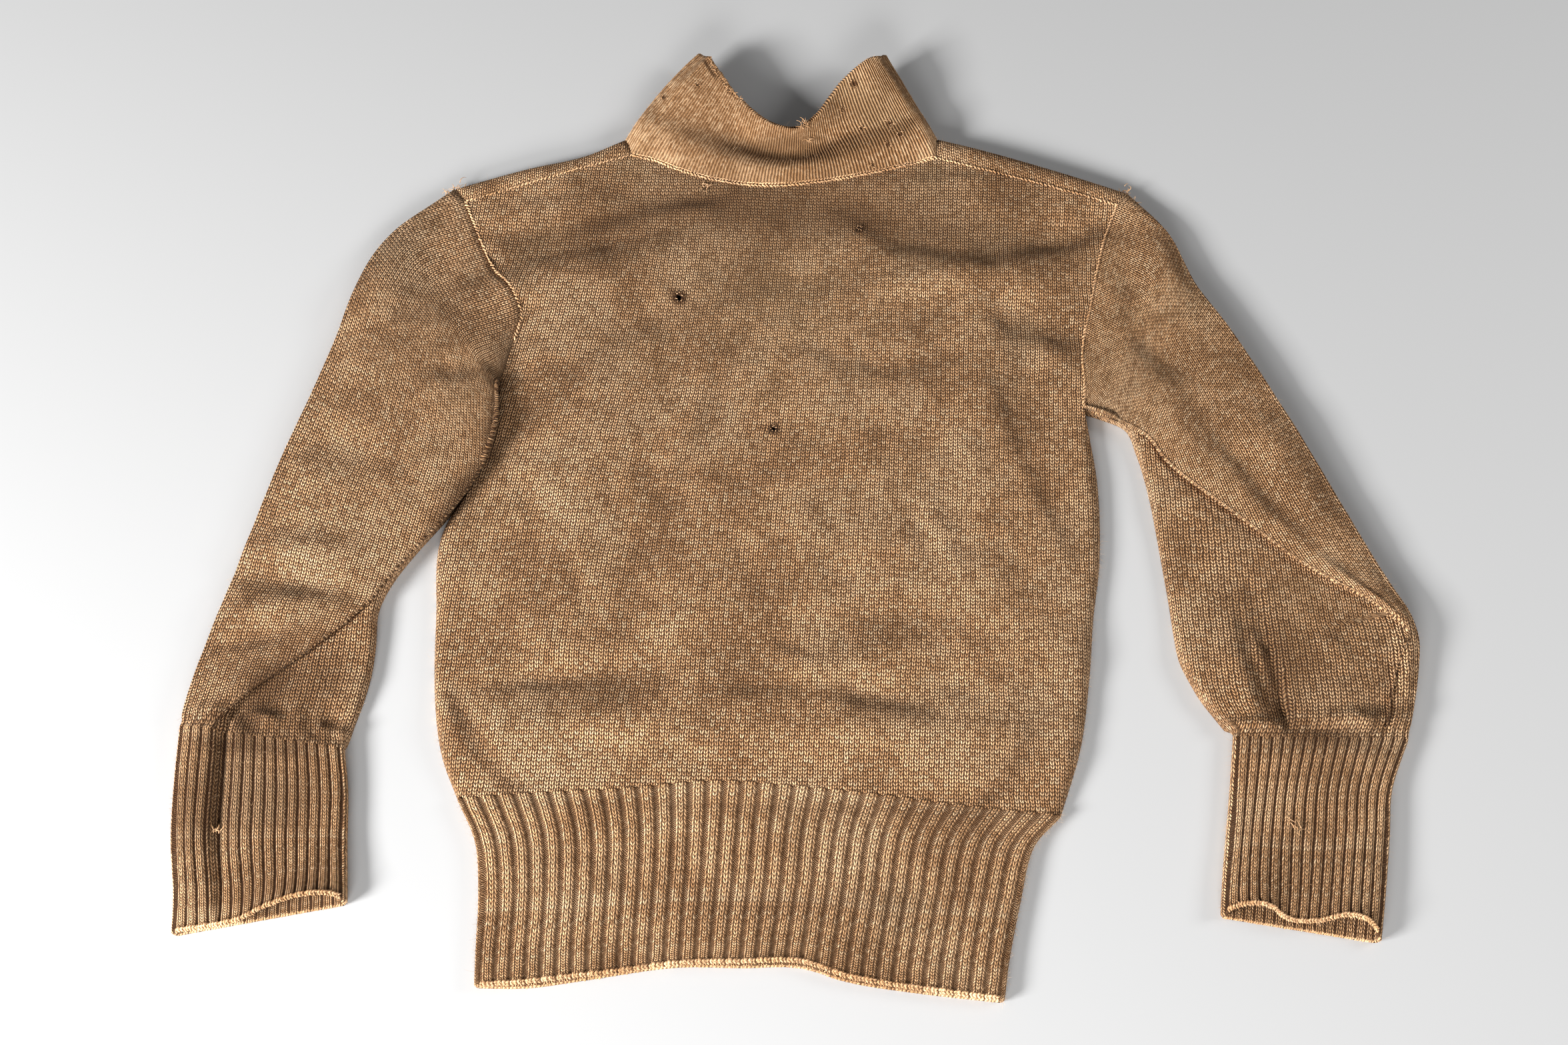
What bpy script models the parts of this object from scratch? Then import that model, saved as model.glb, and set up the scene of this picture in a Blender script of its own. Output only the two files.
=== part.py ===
"""Knitted wool pullover with a high doubled collar, laid face down and seen from its back."""

import bpy
import numpy as np

# Driving sizes, in metres. X runs to the right, Y from the hem to the collar, Z up from the surface.
WALL = 0.0027            # one layer of the heavy knit
COLLAR_WALL = 0.0036     # the collar band, folded double
SEAM_GAP = 0.0004        # between two sewn pieces
BODY_HEIGHT = 0.0105     # both panels, one lying on the other
SIDE_ROLL = 0.0120       # width of the roll at the side seams
SHOULDER_ROLL = 0.0120   # width of the roll over the shoulder line
RIB_HEIGHT = 0.0013      # how far a rib stands proud
HEM_RIBS = 34            # raised ribs across the back of the hem
CUFF_RIBS = 15           # raised ribs across one side of a cuff
FOLD_STEP = 0.0054       # height of the layers that are folded over at an elbow
FOLD_TUCK = 0.0030       # how far that fold is undercut
COLLAR_SWELL = 0.0042    # how far the left wing bows out
CENTRE = (-0.00394, 0.1050)   # middle of the laid-out pullover

HOLE_SIDES = 12          # points round a moth hole
HOLE_REACH = (0.0045, 0.0300)   # the holes go through the back panel only

# Moth holes through the back panel: x, y, half width, half height, in millimetres.
HOLES = [
    (43, 332, 2.2, 2.9),
    (-105.5, 263, 2.8, 3.9),
    (-28, 141, 2.1, 2.4),
]

# Side edges from the hem joint to the shoulder seam: x, y in millimetres.
LEFT_SIDE = [
    (-252, -157), (-266, -125), (-273, -95), (-277, -63), (-280, -14), (-283, 41),
    (-278, 63), (-262, 88), (-250, 119), (-246.5, 152), (-245, 187),
]
LEFT_ARMHOLE = [(-245, 187), (-237, 225), (-233, 248), (-240, 269), (-258, 293), (-276, 333), (-286, 358)]
RIGHT_SIDE = [(176, -169), (194, -118), (205, -61), (211, -17), (219, 27), (223, 92), (221, 126), (216, 161)]
RIGHT_ARMHOLE = [
    (216, 161), (218, 183), (218, 207), (223, 234), (229, 258), (237, 293), (247, 327), (258, 355),
]

# Top edge of the back panel, from the left shoulder over the neck to the right shoulder.
LEFT_SHOULDER = [(-286, 358), (-240, 374), (-195, 390), (-148, 405)]
BACK_NECK = [
    (-148, 405), (-127, 399), (-111, 391), (-74, 379), (-32, 374), (10, 378), (50, 386), (84, 395), (107, 402),
]
RIGHT_SHOULDER = [(107, 402), (150, 389), (205, 372), (258, 355)]

# Outline of the rolled shoulders, and the front neckline that lies underneath.
LEFT_OUTLINE = [(-297, 374), (-237, 394), (-190, 407), (-157, 424)]
RIGHT_OUTLINE = [(112, 425), (145, 415), (205, 394), (268, 370)]
FRONT_NECK = [
    (-148, 405), (-140, 372), (-110, 331), (-65, 303), (-20, 295), (25, 301), (70, 328), (99, 368), (107, 402),
]

# Joint of the body with the hem rib.
HEM_JOINT = [
    (-252, -157), (-201, -153), (-141, -150), (-66, -144), (-21, -147),
    (39, -153), (99, -161), (143, -166), (176, -169),
]

# Creases (negative) and ridges of the back: x, y at both ends, half width, depth.
CREASES = [
    (-262, 295, -218, 315, 13, -3.4),
    (-222, 315, -165, 320, 12, -3.0),
    (-165, 320, -95, 337, 11, -2.0),
    (-268, 268, -150, 290, 18, 4.0),
    (-270, 338, -180, 350, 14, 2.0),
    (-150, 365, -82, 364, 8, -1.8),
    (84, 333, 147, 318, 14, -2.4),
    (147, 318, 205, 326, 14, -2.8),
    (205, 326, 250, 337, 13, -2.6),
    (70, 290, 200, 292, 20, 3.6),
    (110, 360, 215, 348, 13, 1.8),
    (165, 250, 216, 229, 16, -3.2),
    (168, 232, 178, 148, 15, -3.0),
    (-228, 252, -238, 200, 11, -3.4),
    (-110, 232, -140, -80, 18, -2.2),
    (-175, 150, -190, -40, 28, 3.0),
    (-60, 200, -80, -60, 34, 1.6),
    (60, 200, 30, -40, 38, 2.4),
    (140, 190, 130, 60, 20, 1.6),
    (-190, -68, -110, -60, 15, -2.0),
    (-200, -100, -120, -92, 13, 2.0),
    (-10, -26, 70, -16, 16, -2.0),
    (0, -60, 80, -50, 14, 2.4),
    (40, -82, 105, -68, 14, -2.2),
    (-150, -122, -80, -124, 12, -1.8),
    (130, -126, 190, -116, 12, -2.0),
    (120, 20, 196, -60, 20, 2.6),
]

# Sleeves, from the armhole to the cuff: outer edge x, y, edge of the layer that lies on top x, y,
# inner edge x, y, height of the top layer, share of the fold's step.
LEFT_SLEEVE = [
    (-297, 374, -245, 187, -245, 187, 11, 0.0),
    (-345, 328, -248, 176, -248, 175, 15, 0.6),
    (-366, 284, -247, 148, -247, 146, 17, 1.0),
    (-380, 226, -251, 117, -251, 114, 18, 1.0),
    (-397, 162, -265, 85, -265, 82, 18, 1.0),
    (-412, 110, -286, 54, -286, 51, 18, 1.0),
    (-424, 58, -310, 24, -309, 18, 17, 1.0),
    (-434, 14, -327, -3, -323, -10, 17, 1.0),
    (-443, -24, -350, -27, -323, -44, 16, 1.0),
    (-450, -54, -374, -47, -325, -72, 16, 1.0),
    (-455, -82, -407, -75, -331, -97, 15, 0.8),
    (-457, -103, -430, -101, -336, -120, 12, 0.0),
]
RIGHT_SLEEVE = [
    (268, 370, 216, 161, 216, 161, 11, 0.0),
    (300, 326, 232, 154, 232, 151, 14, 0.6),
    (320, 268, 252, 143, 250, 138, 16, 1.0),
    (343, 228, 268, 129, 257, 118, 17, 1.0),
    (361, 187, 281, 106, 261, 95, 17, 1.0),
    (381, 142, 302, 87, 264, 68, 17, 1.0),
    (399, 97, 329, 63, 266, 40, 16, 1.0),
    (417, 52, 355, 38, 268, 12, 16, 1.0),
    (432, 14, 382, 17, 270, -18, 16, 1.0),
    (444, -10, 408, -5, 271, -44, 16, 1.0),
    (449, -32, 430, -28, 277, -64, 15, 0.7),
    (447, -54, 430, -52, 284, -80, 14, 0.2),
    (440, -82, 420, -84, 294, -96, 13, 0.0),
    (430, -113, 410, -112, 304, -111, 12, 0.0),
]

# Cuffs from the joint to the rim: left x, y, right x, y, height.
LEFT_CUFF = [
    (-457, -103.5, -336, -120.5, 12),
    (-455, -145, -330, -153, 11),
    (-451, -186, -327, -186, 11),
    (-443, -225, -324, -212, 12),
    (-440, -252, -322, -230, 12),
]
RIGHT_CUFF = [
    (304, -111.5, 430, -113.5, 11.5),
    (297, -152, 413, -150, 11),
    (291, -183, 406, -184, 11),
    (285, -214, 397, -224, 12),
    (281, -239, 389, -257, 12),
]

# Upper lip of the rims: share of the width, how far it sits back, how far it stands up.
LEFT_LIP = [(0.0, 0, 0), (0.38, 0, 0), (0.55, 5, 3), (0.78, 8, 5), (0.93, 5, 3), (1.0, 1, 0)]
RIGHT_LIP = [
    (0.0, 1, 0), (0.14, 8, 4), (0.28, 9, 5), (0.41, 3, 1), (0.60, 5, 2), (0.76, 11, 6), (0.90, 10, 4), (1.0, 2, 0),
]
HEM_LIP = [(0.0, 0, 0), (0.12, 2, 1), (0.3, 0, 0), (0.55, 2, 1), (0.8, 1, 1), (1.0, 0, 0)]

# Hem rib from the joint to the rim: left x, y, right x, y, height.
HEM_RIB = [
    (-252, -158, 176, -170, 10),
    (-237, -189, 155, -193, 9.6),
    (-232, -226, 144, -230, 9.4),
    (-231, -262, 134, -270, 9.4),
    (-230, -287, 129, -298, 9.6),
]

# Lower edge of the hem: share of the width, how far it curves up.
HEM_RIM = [(0.0, 0), (0.1, 1), (0.2, 7), (0.38, 18), (0.5, 19), (0.62, 20), (0.7, 12), (0.83, 6), (1.0, 1)]

# Top edge of the collar: share of the way along the neck seam, x, y, z, and the bulge below it.
COLLAR_BACK = [
    (0.00, -85, 499, 28, 2),
    (0.10, -74, 480, 30, 1),
    (0.25, -56, 450, 29, -3),
    (0.40, -33, 427, 29, -7),
    (0.54, -8, 421, 29, -8),
    (0.68, 11, 438, 29, -7),
    (0.80, 29, 469, 29, -4),
    (0.92, 50, 492, 30, 0),
    (1.00, 60, 499, 28, 2),
]
COLLAR_FRONT = [
    (0.00, -81, 492, 9, 0),
    (0.10, -76, 474, 7, 0),
    (0.25, -58, 440, 4, 0),
    (0.40, -32, 408, 1, 0),
    (0.52, -10, 399, 0, 0),
    (0.66, 14, 408, 1, 0),
    (0.80, 36, 444, 4, 0),
    (0.92, 51, 474, 7, 0),
    (1.00, 57, 492, 9, 0),
]
LEFT_PEAK = (-95, 508, 21)
RIGHT_PEAK = (69, 506, 21)


def follow(places, values, at):
    """Smooth curve through the table rows, read at the places asked for."""
    places = np.asarray(places, float)
    values = np.asarray(values, float)
    at = np.asarray(at, float)
    gaps = np.diff(places)
    rises = np.diff(values, axis=0) / (gaps[:, None] if values.ndim > 1 else gaps)
    slopes = np.concatenate([rises[:1], (rises[1:] + rises[:-1]) / 2, rises[-1:]])
    i = np.clip(np.searchsorted(places, at, side="right") - 1, 0, len(gaps) - 1)
    g = gaps[i]
    t = (at - places[i]) / g
    if values.ndim > 1:
        g = g[..., None]
        t = t[..., None]
    a = 2 * t ** 3 - 3 * t ** 2 + 1
    b = t ** 3 - 2 * t ** 2 + t
    c = t ** 3 - t ** 2
    return a * values[i] + b * g * slopes[i] + (1 - a) * values[i + 1] + c * g * slopes[i + 1]


def along(table, at):
    """Points of a curve in millimetres, in metres, at shares of its length."""
    table = np.asarray(table, float)
    steps = np.linalg.norm(np.diff(table[:, :2], axis=0), axis=1)
    places = np.concatenate([[0], np.cumsum(steps)]) / steps.sum()
    return follow(places, table, at) / 1000


def share(x):
    """Soft change from 0 to 1."""
    x = np.clip(x, 0, 1)
    return x * x * (3 - 2 * x)


def relief(x, y):
    """Height that the creases and ridges add to the back."""
    total = np.zeros_like(np.asarray(x, float))
    for ax, ay, bx, by, width, depth in CREASES:
        ax, ay, bx, by, width, depth = (n / 1000 for n in (ax, ay, bx, by, width, depth))
        dx, dy = bx - ax, by - ay
        t = np.clip(((x - ax) * dx + (y - ay) * dy) / (dx * dx + dy * dy), 0, 1)
        off = np.hypot(x - ax - t * dx, y - ay - t * dy)
        total = total + depth * np.exp(-(off / width) ** 2)
    return total


def side(tables, v, armpit):
    """Point of a side edge: the side seam up to the armpit, then the armhole."""
    low, high = tables
    v = np.asarray(v, float)
    return np.where((v <= armpit)[..., None], along(low, np.clip(v / armpit, 0, 1)),
                    along(high, np.clip((v - armpit) / (1 - armpit), 0, 1)))


ARMPIT = 0.64            # share of the side edges below the armholes
UNDER_SLEEVE = 0.41      # from here up the left side edge lies under the sleeve
ARMHOLE_STEPS = 10       # rows of points along an armhole
NECK_STEPS = 16          # columns of points along the neck seam
SLEEVE_STEPS = 14        # sections along a sleeve
NECK = (0.253, 0.724)    # where the neck starts and ends across the shoulders


def top_edge(u, left, middle, right):
    """Point of the top edge: left shoulder, neck, right shoulder."""
    u = np.asarray(u, float)
    a, b = NECK
    return np.where((u <= a)[..., None], along(left, np.clip(u / a, 0, 1)),
                    np.where((u >= b)[..., None], along(right, np.clip((u - b) / (1 - b), 0, 1)),
                             along(middle, np.clip((u - a) / (b - a), 0, 1))))


def body_plan(u, v, tops):
    """Point of the laid-out body between its four edges."""
    left = side((LEFT_SIDE, LEFT_ARMHOLE), v, ARMPIT)
    right = side((RIGHT_SIDE, RIGHT_ARMHOLE), v, ARMPIT)
    low = along(HEM_JOINT, u)
    high = top_edge(u, *tops)
    a, b = u[..., None], v[..., None]
    corners = [along(t, e) for t, e in ((HEM_JOINT, 0.0), (HEM_JOINT, 1.0), (tops[0], 0.0), (tops[2], 1.0))]
    left = left + b * (corners[2] - along(LEFT_ARMHOLE, 1.0))
    right = right + b * (corners[3] - along(RIGHT_ARMHOLE, 1.0))
    square = (1 - a) * (1 - b) * corners[0] + a * (1 - b) * corners[1]
    square = square + (1 - a) * b * corners[2] + a * b * corners[3]
    return (1 - b) * low + b * high + (1 - a) * left + a * right - square


def back_height(x, y, v):
    """Height of the back panel before its side rolls."""
    lift = 0.0035 * share((y - 0.330) / 0.060)
    joint = -0.0015 * share(1 - v / 0.060)
    blouse = 0.0030 * np.exp(-((v - 0.10) / 0.05) ** 2)
    return BODY_HEIGHT + relief(x, y) + lift + joint + blouse


def back_points(u, v):
    """Outer points of the back panel."""
    plan = body_plan(u, v, (LEFT_SHOULDER, BACK_NECK, RIGHT_SHOULDER))
    x, y = plan[..., 0], plan[..., 1]
    z = back_height(x, y, v)
    left = np.linalg.norm(plan - side((LEFT_SIDE, LEFT_ARMHOLE), v, ARMPIT), axis=-1)
    right = np.linalg.norm(plan - side((RIGHT_SIDE, RIGHT_ARMHOLE), v, ARMPIT), axis=-1)
    near = np.clip(np.minimum(left, right) / SIDE_ROLL, 0, 1)
    roll = np.sqrt(1 - (1 - near) ** 2)
    open_side = share((v - ARMPIT + 0.07) / 0.07)
    under_sleeve = np.where(u < 0.5, share((v - UNDER_SLEEVE) / 0.05), 0)
    open_side = np.maximum(open_side, under_sleeve)
    edge = WALL + SEAM_GAP
    low = edge + (z - edge) * roll
    z = low + (z - low) * open_side
    return np.stack([x, y, z], axis=-1)


def grid_quads(rows, columns, around=False):
    """Corner numbers of the quads of a grid of points."""
    last = columns if around else columns - 1
    return [(r * columns + c, r * columns + (c + 1) % columns,
             (r + 1) * columns + (c + 1) % columns, (r + 1) * columns + c)
            for r in range(rows - 1) for c in range(last)]


def inward(points, quads, depth):
    """The same points moved to the inner face of the cloth."""
    normals = np.zeros_like(points)
    for q in quads:
        n = np.cross(points[q[2]] - points[q[0]], points[q[3]] - points[q[1]])
        for k in q:
            normals[k] += n
    normals /= np.linalg.norm(normals, axis=1)[:, None]
    return points - depth * normals


def shell(name, outer, inner, quads):
    """One closed body from the outer and the inner face of a piece and its cut edges."""
    count = len(outer)
    faces = []
    for a, b, c, d in quads:
        if np.linalg.norm(outer[a] - outer[c]) > np.linalg.norm(outer[b] - outer[d]):
            a, b, c, d = b, c, d, a
        faces += [(a, b, c), (a, c, d)]
    faces += [tuple(k + count for k in reversed(f)) for f in faces]
    edges = {(q[i], q[(i + 1) % 4]) for q in quads for i in range(4)}
    faces += [(b, a, a + count, b + count) for a, b in sorted(edges) if (b, a) not in edges]
    used = sorted({k for f in faces for k in f})
    number = {k: i for i, k in enumerate(used)}
    points = np.concatenate([outer, inner])[used] - np.array([CENTRE[0], CENTRE[1], 0])
    mesh = bpy.data.meshes.new(name)
    mesh.from_pydata(points.tolist(), [], [tuple(number[k] for k in f) for f in faces])
    mesh.update()
    piece = bpy.data.objects.new(name, mesh)
    parts.objects.link(piece)
    return piece


def spaced(counts, stops):
    """Shares from 0 to 1 with the asked number of steps between the stops."""
    runs = [np.linspace(stops[i], stops[i + 1], n + 1)[:-1] for i, n in enumerate(counts)]
    return np.concatenate(runs + [[stops[-1]]])


def back_panel():
    u = spaced((1, 1, 1, 6, NECK_STEPS, 6, 1, 1, 1),
               (0, 0.004, 0.012, 0.025, NECK[0], NECK[1], 0.975, 0.988, 0.996, 1))
    v = spaced((3, 16, ARMHOLE_STEPS), (0, 0.08, ARMPIT, 1))
    grid = back_points(*np.meshgrid(u, v))
    rows, columns = grid.shape[:2]
    points = grid.reshape(-1, 3)
    quads = grid_quads(rows, columns)
    inner = inward(points, quads, WALL).reshape(grid.shape)
    for edge in (np.s_[0], np.s_[-1], np.s_[:, 0], np.s_[:, -1]):
        inner[edge][..., :2] = grid[edge][..., :2]
    for c, way, start in ((0, 1, UNDER_SLEEVE + 0.03), (-1, -1, ARMPIT - 0.02)):
        open_rows = v > start
        inner[:, c, 2] = np.where(open_rows, grid[:, c, 2] - WALL, grid[:, c, 2])
        inner[:, c, 0] += np.where(open_rows, 0, way * WALL)
    inner[0, 1:-1, 2] = grid[0, 1:-1, 2] - WALL
    inner[-1, :, 2] = grid[-1, :, 2] - WALL
    panel = shell("back_panel", points, inner.reshape(-1, 3), quads)
    for number, (x, y, half_width, half_height) in enumerate(HOLES):
        cut = panel.modifiers.new("hole_%d" % number, "BOOLEAN")
        cut.operation = "DIFFERENCE"
        cut.solver = "EXACT"
        cut.object = moth_hole("moth_hole_%d" % number, x, y, half_width, half_height)
    return panel


def moth_hole(name, x, y, half_width, half_height):
    """Cutter of one uneven round hole."""
    turns = np.arange(HOLE_SIDES) * 2 * np.pi / HOLE_SIDES
    swell = 1 + 0.10 * np.sin(3 * turns + x)
    plan = np.column_stack([half_width * swell * np.cos(turns), half_height * swell * np.sin(turns)])
    plan = (plan + (x, y)) / 1000 - CENTRE
    points = [(*p, z) for z in HOLE_REACH for p in plan]
    faces = [tuple(reversed(range(HOLE_SIDES))), tuple(range(HOLE_SIDES, 2 * HOLE_SIDES))]
    for k in range(HOLE_SIDES):
        n = (k + 1) % HOLE_SIDES
        faces.append((k, n, n + HOLE_SIDES, k + HOLE_SIDES))
    mesh = bpy.data.meshes.new(name)
    mesh.from_pydata(points, [], faces)
    mesh.update()
    cutter = bpy.data.objects.new(name, mesh)
    cutter.hide_render = True
    cutter.display_type = "WIRE"
    cutters.objects.link(cutter)
    return cutter


def front_panel():
    u = spaced((5, NECK_STEPS, 5), (0, NECK[0], NECK[1], 1))
    v = spaced((1, 8, ARMHOLE_STEPS), (0, 0.08, ARMPIT, 1))
    flat = body_plan(*np.meshgrid(u, v), (LEFT_SHOULDER, FRONT_NECK, RIGHT_SHOULDER))
    seam = top_edge(u, LEFT_SHOULDER, BACK_NECK, RIGHT_SHOULDER)
    edge = top_edge(u, LEFT_OUTLINE, FRONT_NECK, RIGHT_OUTLINE)
    inset = (seam - edge) / np.maximum(np.linalg.norm(seam - edge, axis=1), 1e-6)[:, None]
    is_shoulder = (u <= NECK[0] + 1e-6) | (u >= NECK[1] - 1e-6)
    rise = back_height(seam[:, 0], seam[:, 1], 1.0)
    rings = [np.concatenate([row, np.zeros((len(u), 1))], axis=1) for row in flat]
    for angle in (-90, -55, -20, 15, 50, 80):
        a = np.radians(angle)
        plan = edge + inset * SHOULDER_ROLL * (1 - np.cos(a))
        rings.append(np.concatenate([plan, (rise * (1 + np.sin(a)) / 2)[:, None]], axis=1))
    close = seam - inset * SEAM_GAP
    rings.append(np.concatenate([close, rise[:, None]], axis=1))
    points = np.concatenate(rings)
    columns = len(u)
    quads = []
    for a, b, c, d in grid_quads(len(rings), columns):
        shoulder = is_shoulder[a % columns] and is_shoulder[b % columns]
        beside_neck = u[a % columns] >= NECK[1] - 1e-6 or u[b % columns] <= NECK[0] + 1e-6
        if a // columns < len(v) - 1 or (shoulder and beside_neck):
            quads.append((d, c, b, a))
    used = sorted({k for q in quads for k in q})
    number = {k: i for i, k in enumerate(used)}
    points = points[used]
    quads = [tuple(number[k] for k in q) for q in quads]
    inner = inward(points, quads, WALL)
    low = points[:, 2] < 1e-6
    inner[low, :2] = points[low, :2]
    inner[low, 2] = WALL
    top = np.array([k // columns == len(rings) - 1 for k in used])
    inner[top, :2] = points[top, :2]
    inner[top, 2] = points[top, 2] - WALL
    return shell("front_panel", points, inner, quads)


def ring_profile(outer, fold, inner, top, step):
    """Outer and inner points of one sleeve section, from the inner edge under the sleeve and back over it."""
    outer, fold, inner = (np.array(p, float) for p in (outer, fold, inner))
    lower = top - step * FOLD_STEP
    tuck = step * FOLD_TUCK
    width = np.linalg.norm(inner - outer)
    to_fold = (fold - outer) / np.linalg.norm(fold - outer)
    span = np.linalg.norm(fold - outer)
    start = fold - to_fold * tuck
    apart = share(np.linalg.norm(inner - fold) / 0.010)
    inner = start + (inner - start) * apart + to_fold * 0.0005
    reach = np.linalg.norm(inner - start)
    to_inner = (inner - start) / reach
    across = (inner - outer) / width
    curl = min(0.009, 0.4 * span)
    corner = min(0.006, 0.6 * reach)
    out, cut = [], []

    def add(plan, z, plan_in, z_in):
        out.append((*plan, z))
        cut.append((*plan_in, z_in))

    for f in np.linspace(1, 0, ARMHOLE_STEPS + 1):
        at = inner + (outer - inner) * (1 - f)
        pull = across * (curl * 0.45 * (1 - f) ** 6 - min(corner, 0.002) * f ** 6)
        hold = across * ((curl * 0.45 + WALL) * (1 - f) ** 6 - (min(corner, 0.002) + WALL) * f ** 6)
        add(at + pull, 0.0, at + hold, WALL)
    for inset, height in ((0.10, 0.22), (0.0, 0.50), (0.18, 0.80)):
        at = outer + to_fold * curl * inset
        add(at, top * height, at + to_fold * WALL, WALL + (top - 2 * WALL) * height)
    for f in np.linspace(0, 1, ARMHOLE_STEPS + 1):
        reach_in = span - curl * 0.5 - 0.0016
        plan = outer + to_fold * (curl * 0.5 + reach_in * f)
        crown = top * (0.95 - 0.13 * (1 - f) ** 4 + 0.07 * np.sin(np.pi * f))
        inside = outer + to_fold * (curl * 0.5 + 0.001 + (reach_in - tuck - WALL * step - 0.001) * f)
        add(plan, crown, inside, crown - WALL)
    drop = 0.95 * (top - lower)
    for past, fall in ((-0.0010 * (1 - step), 0.25), (0.0003 * step - 0.0005 * (1 - step), 0.6)):
        level = 0.95 * top - drop * fall
        add(fold + to_fold * past, level, start + to_fold * (past * (1 - step) - WALL * step), level - WALL)
    for f in np.linspace(0, 1, 6):
        plan = start + to_inner * ((reach - corner) * f)
        level = lower * (0.95 - 0.06 * f * f)
        inside = start - to_fold * WALL * (1 - f) * step + to_inner * ((reach - corner) * f - WALL * f * f)
        add(plan, level, inside, level - WALL)
    for f in (0.35, 0.7, 1.0):
        a = f * np.pi / 2
        plan = inner - to_inner * corner * (1 - np.sin(a))
        level = lower * 0.89 * (0.30 + 0.70 * np.cos(a))
        add(plan, level, plan - to_inner * WALL * (0.4 + 0.6 * f), max(level - WALL * (1 - 0.9 * f), WALL * 1.4))
    return np.array(out), np.array(cut)


def sleeve(name, table, armhole, edge, way):
    """A sleeve as one tube, folded at the elbow so that its upper part lies on its lower part."""
    rows = np.array(table, float)
    rows = follow(np.arange(len(rows)), rows, np.linspace(0, len(rows) - 1, SLEEVE_STEPS + 1))
    rings, cuts = [], []
    for i, row in enumerate(rows):
        outer, fold, inner = row[0:2] / 1000, row[2:4] / 1000, row[4:6] / 1000
        if i == 0:
            fold = inner
        out, cut = ring_profile(outer, fold, inner, row[6] / 1000, row[7])
        rings.append(out)
        cuts.append(cut)
    rings, cuts = np.array(rings), np.array(cuts)
    count = rings.shape[1]
    n = ARMHOLE_STEPS + 1
    under, over = slice(0, n), slice(n + 3, 2 * n + 3)
    line = along(armhole, np.linspace(0, 1, n)) + np.array([way * SEAM_GAP, 0])
    roll = np.array(edge) / 1000 + np.array([way * SEAM_GAP, 0])
    end = line[-1]
    rise = back_height(line[:, 0], line[:, 1], 1.0)
    for points, depth in ((rings, 0), (cuts, WALL)):
        foot = line[0] + (line[1] - line[0]) / np.linalg.norm(line[1] - line[0]) * depth
        plan = np.concatenate([[foot], line[1:]])
        points[0, under] = np.column_stack([plan, np.full(n, depth)])
        points[0, over] = np.column_stack([plan, rise - depth])[::-1]
        inset = depth * (end - roll) / np.linalg.norm(end - roll)
        for k, (out, up) in enumerate(((0.60, 0.06), (1.0, 0.5), (0.70, 0.90))):
            plan = end + (roll + (way * 0.0010, 0) - end) * out + inset
            points[0, n + k] = (*plan, depth + (rise[-1] - 2 * depth) * up)
        for k in range(2 * n + 3, count):
            up = 1 - (k - 2 * n - 2) / (count - 2 * n - 2)
            points[0, k] = (*foot, depth + (rise[0] - 2 * depth) * up)
    quads = grid_quads(len(rings), count, around=True)
    quads = [tuple(reversed(q)) for q in quads] if way < 0 else quads
    return shell(name, rings.reshape(-1, 3), cuts.reshape(-1, 3), quads)


def rib_wave(count):
    """Shares across a ribbed band and how far each point stands proud: two points up, one in the furrow."""
    places, proud = [], []
    for k in range(count):
        for f, h in ((0.0, 0.0), (0.28, 1.0), (0.72, 1.0)):
            places.append((k + f) / count)
            proud.append(h)
    return np.array(places), np.array(proud)


def ribbed_band(name, table, ribs, lip, rim=((0, 0), (1, 0)), joint=None, under=7, furrow=0.0):
    """A ribbed tube laid flat: ribs on the upper side, a flat plain underside."""
    rows = np.array(table, float)
    stations = np.linspace(0, 1, len(rows))
    across, proud = rib_wave(ribs)
    rim = np.array(rim, float)
    lip = np.array(lip, float)
    ends = np.array(table[0][:4], float).reshape(2, 2) / 1000

    def lift(g, s):
        """How far the edges of the band curve away from straight rows."""
        start = 0.0
        if joint:
            start = (along(joint, g) - (ends[0] + (ends[1] - ends[0]) * g))[1] - 0.0006
        return follow(rim[:, 0], rim[:, 1], g) / 1000 * s ** 2 + start * (1 - s) ** 2

    rings, cuts = [], []
    for s, row in zip(stations, rows):
        left, right, height = row[0:2] / 1000, row[2:4] / 1000, row[4] / 1000
        width = np.linalg.norm(right - left)
        way = (right - left) / width
        down = np.array([way[1], -way[0]])
        curl = 0.006 / width
        out, cut = [], []
        for f, h in zip(across, proud):
            g = curl * 0.6 + (1 - 1.2 * curl) * f
            round_off = np.sqrt(np.clip(1 - np.clip(1 - min(g, 1 - g) / (3 * curl), 0, 1) ** 2, 0, 1))
            level = (height - RIB_HEIGHT) * (0.80 + 0.20 * round_off)
            set_back, stand = follow(lip[:, 0], lip[:, 1:], g) / 1000 * s ** 3
            level += stand - furrow * np.exp(-((g - 0.25) / 0.055) ** 2) * (1 - s ** 3)
            sag = lift(g, s) + set_back
            plan = left + way * width * g - down * sag
            out.append((*plan, level + RIB_HEIGHT * h))
            hold = left + way * (width * g + WALL * (1 - 2 * f)) - down * sag
            cut.append((*hold, max(level - WALL, WALL + 0.0007)))
        for inset, share_up in ((0.0, 0.50), (0.25, 0.12)):
            plan = right - way * 0.006 * inset
            out.append((*plan, height * share_up))
            cut.append((*(plan - way * WALL), max(height * share_up - WALL * (share_up - 0.12), WALL * 1.3)))
        for f in np.linspace(1, 0, under):
            g = curl * 0.5 + (1 - curl) * f
            plan = left + way * width * g - down * lift(g, s)
            out.append((*plan, 0.0))
            cut.append((*(plan + way * WALL * (1 - 2 * f)), WALL))
        for inset, share_up in ((0.25, 0.12), (0.0, 0.50)):
            plan = left + way * 0.006 * inset
            out.append((*plan, height * share_up))
            cut.append((*(plan + way * WALL), max(height * share_up - WALL * (share_up - 0.12), WALL * 1.3)))
        rings.append(out)
        cuts.append(cut)
    rings, cuts = np.array(rings), np.array(cuts)
    quads = [tuple(reversed(q)) for q in grid_quads(len(rings), rings.shape[1], around=True)]
    return shell(name, rings.reshape(-1, 3), cuts.reshape(-1, 3), quads)


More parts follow.
